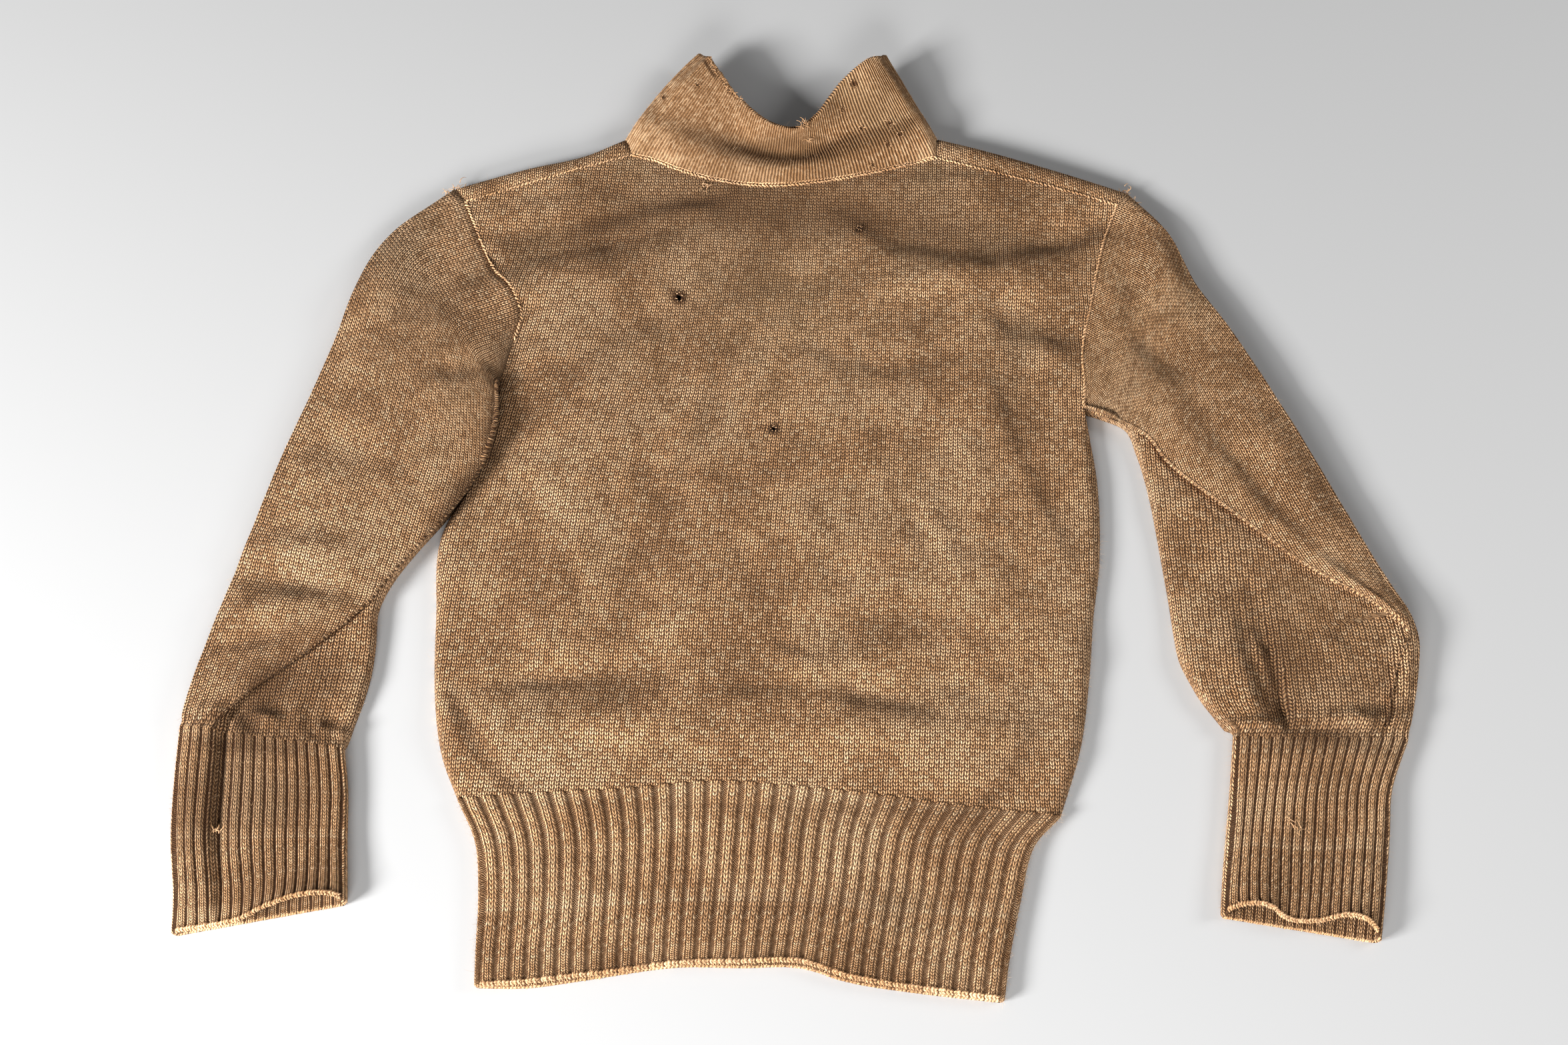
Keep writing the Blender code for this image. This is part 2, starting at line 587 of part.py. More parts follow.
def collar():
    """The doubled collar band: a short flattened tube whose side folds stand up as two wings."""
    t = np.linspace(0, 1, NECK_STEPS + 1)
    back_seam, front_seam = along(BACK_NECK, t), along(FRONT_NECK, t)
    rise = back_height(back_seam[:, 0], back_seam[:, 1], 1.0)
    back, front = np.array(COLLAR_BACK, float), np.array(COLLAR_FRONT, float)
    b = follow(back[:, 0], back[:, 1:], t) / 1000
    f = follow(front[:, 0], front[:, 1:], t)[::-1] / 1000
    f[:, 2] = np.maximum(f[:, 2], 0)
    rows = []
    for k in range(len(t)):
        rows.append((*(back_seam[k] + (0, SEAM_GAP)), rise[k], *b[k], 1))
    for corner, outline, peak, way, k in ((back_seam[-1], RIGHT_OUTLINE[0], RIGHT_PEAK, -1, 1),
                                          (back_seam[0], LEFT_OUTLINE[-1], LEFT_PEAK, 1, 0)):
        outline, peak = np.array(outline) / 1000, np.array(peak) / 1000
        high, low = (b[-1], f[0]) if k else (b[0], f[-1])
        level = rise[-1] if k else rise[0]
        fold = []
        for out, up in ((0.7, 0.93), (1.0, 0.5), (0.7, 0.07)):
            plan = corner + (outline - corner) * out + (way * 0.0008, 0)
            top = peak if up == 0.5 else (peak + (high if up > 0.5 else low)[:3]) / 2
            fold.append((*plan, level * up, *top, 0.002 if up > 0.5 else 0, 1 if up > 0.5 else 0))
        if k:
            rows += fold
            rows += [(*(front_seam[-1 - m] + (0, 0.001)), 0.0, *f[m], 0) for m in range(len(t))]
        else:
            rows += fold[::-1]
    loop = np.array(rows)
    left_end = np.array(LEFT_OUTLINE[-1]) / 1000
    swell = np.exp(-(np.linalg.norm(loop[:, :2] - left_end, axis=1) / 0.02) ** 2)
    rings = []
    for s in (0, 0.12, 0.25, 0.4, 0.55, 0.7, 0.85, 1):
        points = loop[:, 0:3] * (1 - s) + loop[:, 3:6] * s
        points[:, 0] -= swell * COLLAR_SWELL * np.sin(np.pi * s)
        points[:, 2] += loop[:, 7] * 0.004 * np.sin(np.pi * min(s / 0.45, 1))
        points[:, 2] += loop[:, 6] * np.exp(-((s - 0.66) / 0.20) ** 2)
        points[:, 2] = np.maximum(points[:, 2], 0)
        rings.append(points)
    rings = np.array(rings)
    quads = grid_quads(len(rings), rings.shape[1], around=True)
    flat = rings.reshape(-1, 3)
    inner = inward(flat, quads, COLLAR_WALL)
    low = flat[:, 2] < 1e-6
    inner[low, 2] = COLLAR_WALL
    inner[low, :2] = flat[low, :2]
    return shell("collar", flat, inner, quads)


def material(name, colour, roughness):
    made = bpy.data.materials.new(name)
    made.use_nodes = True
    shader = made.node_tree.nodes["Principled BSDF"]
    shader.inputs["Base Color"].default_value = (*colour, 1)
    shader.inputs["Roughness"].default_value = roughness
    shader.inputs["Metallic"].default_value = 0.0
    return made


for thing in list(bpy.data.objects):
    bpy.data.objects.remove(thing, do_unlink=True)
parts = bpy.data.collections.new("army_sweater")
cutters = bpy.data.collections.new("cutters")
for collection in (parts, cutters):
    bpy.context.scene.collection.children.link(collection)

pieces = {
    "back_panel": back_panel(),
    "front_panel": front_panel(),
    "sleeve_left": sleeve("sleeve_left", LEFT_SLEEVE, LEFT_ARMHOLE, LEFT_OUTLINE[0], -1),
    "sleeve_right": sleeve("sleeve_right", RIGHT_SLEEVE, RIGHT_ARMHOLE, RIGHT_OUTLINE[-1], 1),
    "cuff_left": ribbed_band("cuff_left", LEFT_CUFF, CUFF_RIBS, LEFT_LIP, furrow=0.0045),
    "cuff_right": ribbed_band("cuff_right", RIGHT_CUFF, CUFF_RIBS, RIGHT_LIP),
    "hem_rib": ribbed_band("hem_rib", HEM_RIB, HEM_RIBS, HEM_LIP, HEM_RIM, HEM_JOINT, under=19),
    "collar": collar(),
}
shades = {
    "back_panel": (0.27, 0.17, 0.10),
    "front_panel": (0.27, 0.17, 0.10),
    "sleeve_left": (0.27, 0.17, 0.10),
    "sleeve_right": (0.27, 0.17, 0.10),
    "cuff_left": (0.24, 0.15, 0.085),
    "cuff_right": (0.24, 0.15, 0.085),
    "hem_rib": (0.25, 0.16, 0.09),
    "collar": (0.30, 0.19, 0.12),
}
for name, piece in pieces.items():
    piece.data.materials.append(material("wool_" + name, shades[name], 0.95))
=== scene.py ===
"""Looks of a knitted wool pullover that lies face down: knit, seams, wear, painted shade, holes, fuzz, light and
camera.
"""

import math

import bpy
import numpy as np

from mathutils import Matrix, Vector
from mathutils.bvhtree import BVHTree


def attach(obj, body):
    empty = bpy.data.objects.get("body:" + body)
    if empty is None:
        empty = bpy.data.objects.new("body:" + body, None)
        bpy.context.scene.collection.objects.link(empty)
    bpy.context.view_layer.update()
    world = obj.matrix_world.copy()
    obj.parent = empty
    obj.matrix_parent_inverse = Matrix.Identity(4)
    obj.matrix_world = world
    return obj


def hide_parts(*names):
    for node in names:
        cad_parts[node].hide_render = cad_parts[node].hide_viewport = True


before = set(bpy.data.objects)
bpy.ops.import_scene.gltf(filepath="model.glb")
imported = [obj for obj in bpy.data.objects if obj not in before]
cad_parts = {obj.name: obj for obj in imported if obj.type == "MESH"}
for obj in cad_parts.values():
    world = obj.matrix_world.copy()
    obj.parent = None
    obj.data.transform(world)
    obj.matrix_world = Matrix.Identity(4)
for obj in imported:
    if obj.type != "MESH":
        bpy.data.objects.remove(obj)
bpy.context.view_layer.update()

# Sizes in metres. X runs to the right, Y from the hem to the collar, Z up from the surface.
WALL = 0.0027           # thickness of the single knit
COLLAR_WALL = 0.0036    # thickness of the doubled collar
SEAM_GAP = 0.0004       # between two pieces at a seam
BODY_HEIGHT = 0.0105    # both panels, laid flat
SIDE_ROLL = 0.0120      # width over which the back rolls down to its side edges
SHOULDER_ROLL = 0.0120  # width over which the front rolls over the shoulder
RIB_HEIGHT = 0.0013     # how far a rib stands out
FOLD_STEP = 0.0054      # from the upper layer of a folded sleeve down to the lower one
FOLD_TUCK = 0.0030      # how far the lower layer runs in under the fold
COLLAR_SWELL = 0.0042   # bulge of the collar's left corner
UPPER_LAYER = 0.0062    # height that upper layers hardly sink below
EDGE_TURN = 0.0035      # depth of the rounded side edge of a ribbed band
MOST_SWAY = 0.016       # most that the wales of a sleeve follow its curved edges
SLEEVE_LAP = 0.0036     # how far the left sleeve's fold laps over the body
LAP_RISE = 0.0006       # how far it rises there
CUFF_PUFF = 0.0035      # fullness of a sleeve above its cuff
PLEAT_DEPTH = 0.0011    # of the small pleats there
CUFF_ROLL = 0.0036      # height of the left cuff's rolled side
CUFF_GROOVE = 0.0038    # depth of the groove beside it
LOOP_RISE = 0.0004      # how far the loops round a moth hole stand up
RAY_START = 0.2         # height from which the cloth is probed
CENTRE = np.array([-0.00394, 0.1050, 0])  # middle of the solids on the plan

# Shares of the way along an edge.
ARMPIT = 0.64           # of the side edge
UNDER_SLEEVE = 0.41     # where the left sleeve starts to lie against the side edge
NECK = (0.253, 0.724)   # both ends of the neck on the top edge
LAID = 0.95             # of a sleeve's height, where it lies flat

# Ribs, and rows and columns of the built grids.
HEM_RIBS = 34
CUFF_RIBS = 15
RIB_COLUMNS = 8
BAND_ROWS = 46
UNDER_COLUMNS = 30
ARMHOLE_STEPS = 10
SLEEVE_STEPS = 14
NECK_STEPS = 16
COLLAR_ROWS = 44
TEAR_ROW = 36           # the collar's tear starts above this row

# The knit: width of a wale, height of a course, the same of the collar, and the raised share of a rib.
WALE = 0.0036
COURSE = 0.00275
COLLAR_RIB = 0.0028
COLLAR_COURSE = 0.0016
HEM_RAISED = 0.64
CUFF_RAISED = 0.78

# Side edges from the hem joint to the shoulder seam: x, y in millimetres.
LEFT_SIDE = [
    (-252, -157), (-266, -125), (-273, -95), (-277, -63), (-280, -14), (-283, 41),
    (-278, 63), (-262, 88), (-250, 119), (-246.5, 152), (-245, 187),
]
LEFT_ARMHOLE = [(-245, 187), (-237, 225), (-233, 248), (-240, 269), (-258, 293), (-276, 333), (-286, 358)]
RIGHT_SIDE = [(176, -169), (194, -118), (205, -61), (211, -17), (219, 27), (223, 92), (221, 126), (216, 161)]
RIGHT_ARMHOLE = [(216, 161), (218, 183), (218, 207), (223, 234), (229, 258), (237, 293), (247, 327), (258, 355)]

# Top edge of the back panel, from the left shoulder over the neck to the right shoulder.
LEFT_SHOULDER = [(-286, 358), (-240, 374), (-195, 390), (-148, 405)]
BACK_NECK = [
    (-148, 405), (-127, 399), (-111, 391), (-74, 379), (-32, 374), (10, 378), (50, 386), (84, 395), (107, 402),
]
RIGHT_SHOULDER = [(107, 402), (150, 389), (205, 372), (258, 355)]

# Outline of the rolled shoulders, and the front neckline that lies underneath.
LEFT_OUTLINE = [(-297, 374), (-237, 394), (-190, 407), (-157, 424)]
RIGHT_OUTLINE = [(112, 425), (145, 415), (205, 394), (268, 370)]
FRONT_NECK = [
    (-148, 405), (-140, 372), (-110, 331), (-65, 303), (-20, 295), (25, 301), (70, 328), (99, 368), (107, 402),
]

# Joint of the body with the hem rib.
HEM_JOINT = [
    (-252, -157), (-201, -153), (-141, -150), (-66, -144), (-21, -147),
    (39, -153), (99, -161), (143, -166), (176, -169),
]

# Creases (negative) and ridges of the back: x, y at both ends, half width, depth.
CREASES = [
    (-262, 295, -218, 315, 13, -3.4), (-222, 315, -165, 320, 12, -3.0), (-165, 320, -95, 337, 11, -2.0),
    (-268, 268, -150, 290, 18, 4.0), (-270, 338, -180, 350, 14, 2.0), (-150, 365, -82, 364, 8, -1.8),
    (84, 333, 147, 318, 14, -2.4), (147, 318, 205, 326, 14, -2.8), (205, 326, 250, 337, 13, -2.6),
    (70, 290, 200, 292, 20, 3.6), (110, 360, 215, 348, 13, 1.8), (165, 250, 216, 229, 16, -3.2),
    (168, 232, 178, 148, 15, -3.0), (-228, 252, -238, 200, 11, -3.4), (-110, 232, -140, -80, 18, -2.2),
    (-175, 150, -190, -40, 28, 3.0), (-60, 200, -80, -60, 34, 1.6), (60, 200, 30, -40, 38, 2.4),
    (140, 190, 130, 60, 20, 1.6), (-190, -68, -110, -60, 15, -2.0), (-200, -100, -120, -92, 13, 2.0),
    (-10, -26, 70, -16, 16, -2.0), (0, -60, 80, -50, 14, 2.4), (40, -82, 105, -68, 14, -2.2),
    (-150, -122, -80, -124, 12, -1.8), (130, -126, 190, -116, 12, -2.0), (120, 20, 196, -60, 20, 2.6),
]

# Shallow folds of the back that the solids leave out, in the same form.
FINE_CREASES = [
    (-268, 322, -197, 334, 9, -2.4), (-197, 334, -134, 352, 9, -2.2), (-134, 352, -75, 363, 7, -1.6),
    (30, 350, 74, 318, 9, -1.8), (74, 318, 155, 303, 10, -2.4), (155, 303, 262, 338, 10, -2.6),
    (-261, 346, -180, 361, 9, 1.6), (67, 374, 159, 381, 8, 1.4), (160, 242, 221, 226, 10, -2.6),
    (-248, 238, -240, 190, 9, -2.8), (-214, 175, -244, 115, 9, -3.2), (-244, 115, -270, 65, 8, -2.4),
    (-194, 197, -130, 243, 12, -2.2), (-130, 243, -60, 268, 12, -2.2), (-69, 290, -16, 326, 14, -1.8),
    (-51, 240, -96, 105, 10, -2.0), (-96, 105, -135, 20, 10, -2.0), (145, 203, 174, 109, 9, -2.2),
    (174, 109, 206, 25, 9, -2.2), (2, 214, 62, 197, 10, -1.8), (62, 197, 115, 208, 10, -1.8),
    (-51, 190, -16, 243, 12, 1.8), (-16, 243, 47, 272, 12, 2.2), (47, 272, 137, 284, 12, 2.2),
    (137, 284, 216, 268, 12, 1.8), (-246, -73, -152, -63, 8, -2.6), (-72, -73, 8, -74, 8, -2.2),
    (8, -74, 86, -89, 8, -2.4), (-236, -108, -40, -108, 12, 2.0), (-40, -108, 149, -112, 12, 2.0),
    (-262, -78, -235, -125, 8, -2.6), (-235, -125, -201, -157, 7, -2.4), (169, -93, 147, -134, 8, -2.6),
    (147, -134, 118, -165, 7, -2.4), (-24, -36, -4, -46, 6, -2.0), (85, 93, 114, 0, 9, 1.8),
    (76, 71, 99, 20, 8, -1.6), (-226, 93, -199, 61, 9, -1.6), (-181, 30, -161, -30, 9, -1.6), (9, 30, 41, 0, 8, -1.6),
    (-150, 120, -120, 60, 12, 1.4), (20, 150, 60, 90, 14, 1.4), (-60, 60, -30, -20, 10, -1.2),
    (120, 150, 140, 60, 10, 1.4), (-20, 90, 10, 40, 10, 1.2), (-210, 0, -200, -50, 9, 1.4),
]

# Creases of the sleeves, on their upper side.
SLEEVE_CREASES = [
    (-300, 300, -330, 230, 14, -3.4), (-318, 330, -372, 250, 18, 3.0), (-262, 200, -300, 190, 12, -3.6),
    (-395, 130, -320, 110, 16, -2.8), (-425, 40, -350, 30, 12, 3.2), (-430, 15, -340, -2, 9, -3.4),
    (-440, -20, -372, -6, 10, 2.6), (-447, -45, -392, -34, 7, -2.2), (-378, -52, -396, -72, 9, -3.2),
    (-396, -72, -405, -92, 7, -3.6), (-405, -92, -409, -112, 5, -2.4), (-373, -85, -371, -112, 6, 1.8),
    (-351, -90, -343, -112, 7, -2.0), (-362, -98, -359, -116, 4, -1.2), (280, 330, 300, 262, 14, 3.0),
    (262, 300, 268, 230, 12, -3.2), (262, 228, 300, 190, 14, -3.0), (345, 150, 390, 60, 18, 3.0),
    (320, 130, 365, 60, 10, -2.2), (331, 4, 337, -44, 7, -3.4), (337, -44, 344, -108, 6, -5.0),
    (320, -10, 324, -50, 6, -2.4), (324, -50, 333, -96, 6, -2.0), (325, -30, 337, -78, 4, 1.6),
    (338, -30, 351, -104, 5, 2.4), (376, -50, 392, -40, 20, 3.0), (384, -66, 388, -90, 18, 2.4),
    (352, -110, 392, -111, 7, -4.4), (427, -44, 421, -80, 10, -2.6), (421, -80, 398, -106, 9, -2.6),
    (312, -54, 320, -98, 9, 2.6), (437, -36, 432, -74, 6, 1.8),
]

# Sleeves, from the armhole to the cuff: outer edge x, y, edge of the layer that lies on top x, y,
# inner edge x, y, height of the top layer, share of the fold's step.
LEFT_SLEEVE = [
    (-297, 374, -245, 187, -245, 187, 11, 0.0), (-345, 328, -248, 176, -248, 175, 15, 0.6),
    (-366, 284, -247, 148, -247, 146, 17, 1.0), (-380, 226, -251, 117, -251, 114, 18, 1.0),
    (-397, 162, -265, 85, -265, 82, 18, 1.0), (-412, 110, -286, 54, -286, 51, 18, 1.0),
    (-424, 58, -310, 24, -309, 18, 17, 1.0), (-434, 14, -327, -3, -323, -10, 17, 1.0),
    (-443, -24, -350, -27, -323, -44, 16, 1.0), (-450, -54, -374, -47, -325, -72, 16, 1.0),
    (-455, -82, -409, -76, -331, -97, 15.5, 1.0), (-457, -103, -430, -100, -336, -120, 14.5, 0.7),
]
RIGHT_SLEEVE = [
    (268, 370, 216, 161, 216, 161, 11, 0.0), (300, 326, 232, 154, 232, 151, 14, 0.6),
    (320, 268, 252, 143, 250, 138, 16, 1.0), (343, 228, 268, 129, 257, 118, 17, 1.0),
    (361, 187, 281, 106, 261, 95, 17, 1.0), (381, 142, 302, 87, 264, 68, 17, 1.0),
    (399, 97, 329, 63, 266, 40, 16, 1.0), (417, 52, 355, 38, 268, 12, 16, 1.0), (432, 14, 382, 17, 270, -18, 16, 1.0),
    (444, -10, 413, -3, 271, -44, 16, 0.8), (449, -32, 437, -27, 277, -64, 15, 0.3),
    (447, -54, 430, -52, 284, -80, 14, 0.0), (440, -82, 420, -84, 294, -96, 13, 0.0),
    (430, -113, 410, -112, 304, -111, 12, 0.0),
]

# Cuffs from the joint to the rim: left x, y, right x, y, height.
LEFT_CUFF = [
    (-457, -103.5, -336, -120.5, 12), (-455, -145, -330, -153, 11), (-451, -186, -327, -186, 11),
    (-443, -225, -324, -212, 12), (-440, -252, -322, -230, 12),
]
RIGHT_CUFF = [
    (304, -111.5, 430, -113.5, 11.5), (297, -152, 413, -150, 11), (291, -183, 406, -184, 11),
    (285, -214, 397, -224, 12), (281, -239, 389, -257, 12),
]

# Upper lip of the rims: share of the width, how far it sits back, how far it stands up.
LEFT_LIP = [(0.0, 0, 0), (0.38, 0, 0), (0.55, 5, 3), (0.78, 8, 5), (0.93, 5, 3), (1.0, 1, 0)]
RIGHT_LIP = [
    (0.0, 1, 0), (0.14, 8, 4), (0.28, 9, 5), (0.41, 3, 1), (0.60, 5, 2), (0.76, 11, 6), (0.90, 10, 4), (1.0, 2, 0),
]
HEM_LIP = [(0.0, 0, 0), (0.12, 2, 1), (0.3, 0, 0), (0.55, 2, 1), (0.8, 1, 1), (1.0, 0, 0)]

# Hem rib from the joint to the rim: left x, y, right x, y, height.
HEM_RIB = [
    (-252, -158, 176, -170, 10), (-237, -189, 155, -193, 9.6), (-232, -226, 144, -230, 9.4),
    (-231, -262, 134, -270, 9.4), (-230, -287, 129, -298, 9.6),
]
HEM_RIM = [(0.0, 0), (0.1, 1), (0.2, 7), (0.38, 18), (0.5, 19), (0.62, 20), (0.7, 12), (0.83, 6), (1.0, 1)]

# Top edge of the collar: share of the way along the neck seam, x, y, z, and the bulge below it.
COLLAR_BACK = [
    (0.00, -85, 499, 28, 2), (0.10, -74, 480, 30, 1), (0.25, -56, 450, 29, -3), (0.40, -33, 427, 29, -7),
    (0.54, -8, 421, 29, -8), (0.68, 11, 438, 29, -7), (0.80, 29, 469, 29, -4), (0.92, 50, 492, 30, 0),
    (1.00, 60, 499, 28, 2),
]
COLLAR_FRONT = [
    (0.00, -81, 492, 9, 0), (0.10, -76, 474, 7, 0), (0.25, -58, 440, 4, 0), (0.40, -32, 408, 1, 0),
    (0.52, -10, 399, 0, 0), (0.66, 14, 408, 1, 0), (0.80, 36, 444, 4, 0), (0.92, 51, 474, 7, 0),
    (1.00, 57, 492, 9, 0),
]
LEFT_PEAK = (-95, 508, 21)
RIGHT_PEAK = (69, 506, 21)

# Moth holes through the back panel: x, y, half width, half height, in millimetres.
HOLES = [(43, 332, 2.2, 2.9), (-105.5, 263, 2.8, 3.9), (-28, 141, 2.1, 2.4)]

# Torn stretch of the collar's top edge: shares of the way along the neck seam, and how far it is set back.
COLLAR_TEAR = [(0.0, 0), (0.03, 2.5), (0.08, 4.2), (0.13, 3.8), (0.17, 4.4), (0.21, 2.0), (0.25, 0), (1.0, 0)]

# Painted shadow in the slit along that torn stretch: x, y at both ends, half width, strength.
COLLAR_SLIT = [(-90, 497, -84, 485, 1.5, 1.8), (-84, 485, -78, 474, 1.3, 1.8)]

# Moth-eaten spots, painted near-black in the middle as the shade of a pit: x, y in millimetres, width of the spot.
MOTH_SPOTS = [
    (-123, 460, 5), (-94, 468, 4), (40, 470, 8), (46, 429, 5), (70, 432, 7), (68, 410, 6), (55, 392, 5), (30, 447, 4),
    (78, 420, 6), (-86, 370, 5), (160, 121, 3),
]

# Edges of the bands as they are built, for the stitches along them, and the painted shade of the rib furrows that run
# on into the sleeves.
EDGE_LINES = {}
FURROW_SHADES = {}
FURROW_SHADE = 0.85


def follow(places, values, at):
    """Smooth curve through the table rows, read at the places asked for."""
    places = np.asarray(places, float)
    values = np.asarray(values, float)
    at = np.asarray(at, float)
    gaps = np.diff(places)
    rises = np.diff(values, axis=0) / (gaps[:, None] if values.ndim > 1 else gaps)
    slopes = np.concatenate([rises[:1], (rises[1:] + rises[:-1]) / 2, rises[-1:]])
    i = np.clip(np.searchsorted(places, at, side="right") - 1, 0, len(gaps) - 1)
    g = gaps[i]
    t = (at - places[i]) / g
    if values.ndim > 1:
        g = g[..., None]
        t = t[..., None]
    a = 2 * t ** 3 - 3 * t ** 2 + 1
    b = t ** 3 - 2 * t ** 2 + t
    c = t ** 3 - t ** 2
    return a * values[i] + b * g * slopes[i] + (1 - a) * values[i + 1] + c * g * slopes[i + 1]


def travelled(line):
    """Way travelled along a line of points, from 0 at its first point."""
    return np.concatenate([[0], np.cumsum(np.linalg.norm(np.diff(line, axis=0), axis=1))])


def along(table, at):
    """Points of a curve in millimetres, in metres, at shares of its length."""
    table = np.asarray(table, float)
    places = travelled(table[:, :2])
    return follow(places / places[-1], table, at) / 1000


def share(x):
    """Soft change from 0 to 1."""
    x = np.clip(x, 0, 1)
    return x * x * (3 - 2 * x)


def relief(x, y, creases, fading=0.5):
    """Height that creases and ridges add. They are less deep at their ends, so that those in a chain join evenly."""
    total = np.zeros_like(np.asarray(x, float))
    for ax, ay, bx, by, width, depth in np.array(creases) / 1000:
        dx, dy = bx - ax, by - ay
        t = np.clip(((x - ax) * dx + (y - ay) * dy) / (dx * dx + dy * dy), 0, 1)
        off = np.hypot(x - ax - t * dx, y - ay - t * dy)
        fade = 1 - fading * share((np.abs(2 * t - 1) - 0.3) / 0.7)
        total = total + depth * fade * np.exp(-(off / width) ** 2)
    return total


LATTICE = np.random.default_rng(7).uniform(-1, 1, (64, 64))


def soft_noise(x, y):
    """Smooth seeded noise between -1 and 1, with one lump for each unit of x and y."""
    ix, iy = np.floor(x).astype(int), np.floor(y).astype(int)
    fx, fy = share(x - ix), share(y - iy)
    a, b = LATTICE[ix % 64, iy % 64], LATTICE[(ix + 1) % 64, iy % 64]
    c, d = LATTICE[ix % 64, (iy + 1) % 64], LATTICE[(ix + 1) % 64, (iy + 1) % 64]
    return (a * (1 - fx) + b * fx) * (1 - fy) + (c * (1 - fx) + d * fx) * fy


def ripple(x, y):
    """Small unevenness of a slack knit, in metres."""
    return (0.0008 * soft_noise(x / 0.045 + 3.1, y / 0.030 + 8.4)
            + 0.0004 * soft_noise(x / 0.019 + 20.7, y / 0.014 + 31.2)
            + 0.0002 * soft_noise(x / 0.008 + 40.3, y / 0.007 + 50.9))


def side(seam, armhole, v):
    """Point of a side edge: the side seam up to the armpit, then the armhole."""
    v = np.asarray(v, float)
    return np.where((v <= ARMPIT)[..., None], along(seam, np.clip(v / ARMPIT, 0, 1)),
                    along(armhole, np.clip((v - ARMPIT) / (1 - ARMPIT), 0, 1)))


def top_edge(u, left, middle, right):
    """Point of the top edge: left shoulder, neck, right shoulder."""
    u = np.asarray(u, float)
    a, b = NECK
    return np.where((u <= a)[..., None], along(left, np.clip(u / a, 0, 1)),
                    np.where((u >= b)[..., None], along(right, np.clip((u - b) / (1 - b), 0, 1)),
                             along(middle, np.clip((u - a) / (b - a), 0, 1))))


def body_plan(u, v, tops):
    """Point of the laid-out body between its four edges."""
    left = side(LEFT_SIDE, LEFT_ARMHOLE, v)
    right = side(RIGHT_SIDE, RIGHT_ARMHOLE, v)
    low = along(HEM_JOINT, u)
    high = top_edge(u, *tops)
    a, b = u[..., None], v[..., None]
    corners = [along(t, e) for t, e in ((HEM_JOINT, 0.0), (HEM_JOINT, 1.0), (tops[0], 0.0), (tops[2], 1.0))]
    left = left + b * (corners[2] - along(LEFT_ARMHOLE, 1.0))
    right = right + b * (corners[3] - along(RIGHT_ARMHOLE, 1.0))
    square = (1 - b) * ((1 - a) * corners[0] + a * corners[1]) + b * ((1 - a) * corners[2] + a * corners[3])
    return (1 - b) * low + b * high + (1 - a) * left + a * right - square


def back_height(x, y, v):
    """Height of the back panel before its side rolls."""
    lift = 0.0035 * share((y - 0.330) / 0.060)
    joint = -0.0015 * share(1 - v / 0.060)
    blouse = 0.0030 * np.exp(-((v - 0.10) / 0.05) ** 2)
    return BODY_HEIGHT + relief(x, y, CREASES, fading=0) + lift + joint + blouse


def back_points(u, v):
    """Outer points of the back panel."""
    plan = body_plan(u, v, (LEFT_SHOULDER, BACK_NECK, RIGHT_SHOULDER))
    x, y = plan[..., 0], plan[..., 1]
    z = back_height(x, y, v)
    left = np.linalg.norm(plan - side(LEFT_SIDE, LEFT_ARMHOLE, v), axis=-1)
    right = np.linalg.norm(plan - side(RIGHT_SIDE, RIGHT_ARMHOLE, v), axis=-1)
    edge_distance = np.minimum(left, right)
    near = np.clip(edge_distance / SIDE_ROLL, 0, 1)
    roll = np.sqrt(1 - (1 - near) ** 2)
    open_side = share((v - ARMPIT + 0.07) / 0.07)
    under_sleeve = np.where(u < 0.5, share((v - UNDER_SLEEVE) / 0.05), 0)
    open_side = np.maximum(open_side, under_sleeve)
    edge = WALL + SEAM_GAP
    low = edge + (z - edge) * roll
    z = low + (z - low) * open_side
    inside = share(edge_distance / 0.020) * share(v / 0.02) * share((1 - v) / 0.03)
    z = z + (1.3 * ripple(x, y) + relief(x, y, FINE_CREASES)) * inside
    shallow = np.maximum(z, UPPER_LAYER + 0.3 * (z - UPPER_LAYER))
    return np.stack([x, y, np.where(inside > 0.5, shallow, z)], axis=-1)


def spaced(counts, stops):
    """Shares from 0 to 1 with the asked number of steps between the stops."""
    runs = [np.linspace(stops[i], stops[i + 1], n + 1)[:-1] for i, n in enumerate(counts)]
    return np.concatenate(runs + [[stops[-1]]])


def refine(grid, row_places, column_places):
    """The same closed surface read at more places, kept smooth."""
    rows, columns, size = grid.shape
    tall = follow(np.arange(rows), grid.reshape(rows, -1), row_places).reshape(-1, columns, size)
    across = np.swapaxes(tall, 0, 1)
    across = np.concatenate([across[-2:], across, across[:3]])
    wide = follow(np.arange(len(across)), across.reshape(len(across), -1), np.asarray(column_places) + 2)
    return np.swapaxes(wide.reshape(len(column_places), len(row_places), size), 0, 1)


def grid_quads(rows, columns, around=False):
    """Corner numbers of the quads of a grid of points."""
    last = columns if around else columns - 1
    r, c = np.meshgrid(np.arange(rows - 1), np.arange(last), indexing="ij")
    r, c = r.ravel(), c.ravel()
    n = (c + 1) % columns
    return np.stack([r * columns + c, r * columns + n, (r + 1) * columns + n, (r + 1) * columns + c], axis=1)


def corner_values(values):
    """Values of a grid at the corners of its quads; a closed grid carries one column more than it has points."""
    rows, columns = values.shape[:2]
    return values.reshape(rows * columns, -1)[grid_quads(rows, columns)]


def used_only(points, quads):
    """The points that the quads use, and the quads with their new numbers."""
    used = np.unique(quads)
    number = np.full(len(points), -1)
    number[used] = np.arange(len(used))
    return points[used], number[quads]


def point_normals(points, quads):
    """Outward directions of the points of a grid."""
    across = np.cross(points[quads[:, 2]] - points[quads[:, 0]], points[quads[:, 3]] - points[quads[:, 1]])
    normals = np.zeros_like(points)
    for k in range(4):
        np.add.at(normals, quads[:, k], across)
    return normals / np.maximum(np.linalg.norm(normals, axis=1), 1e-12)[:, None]


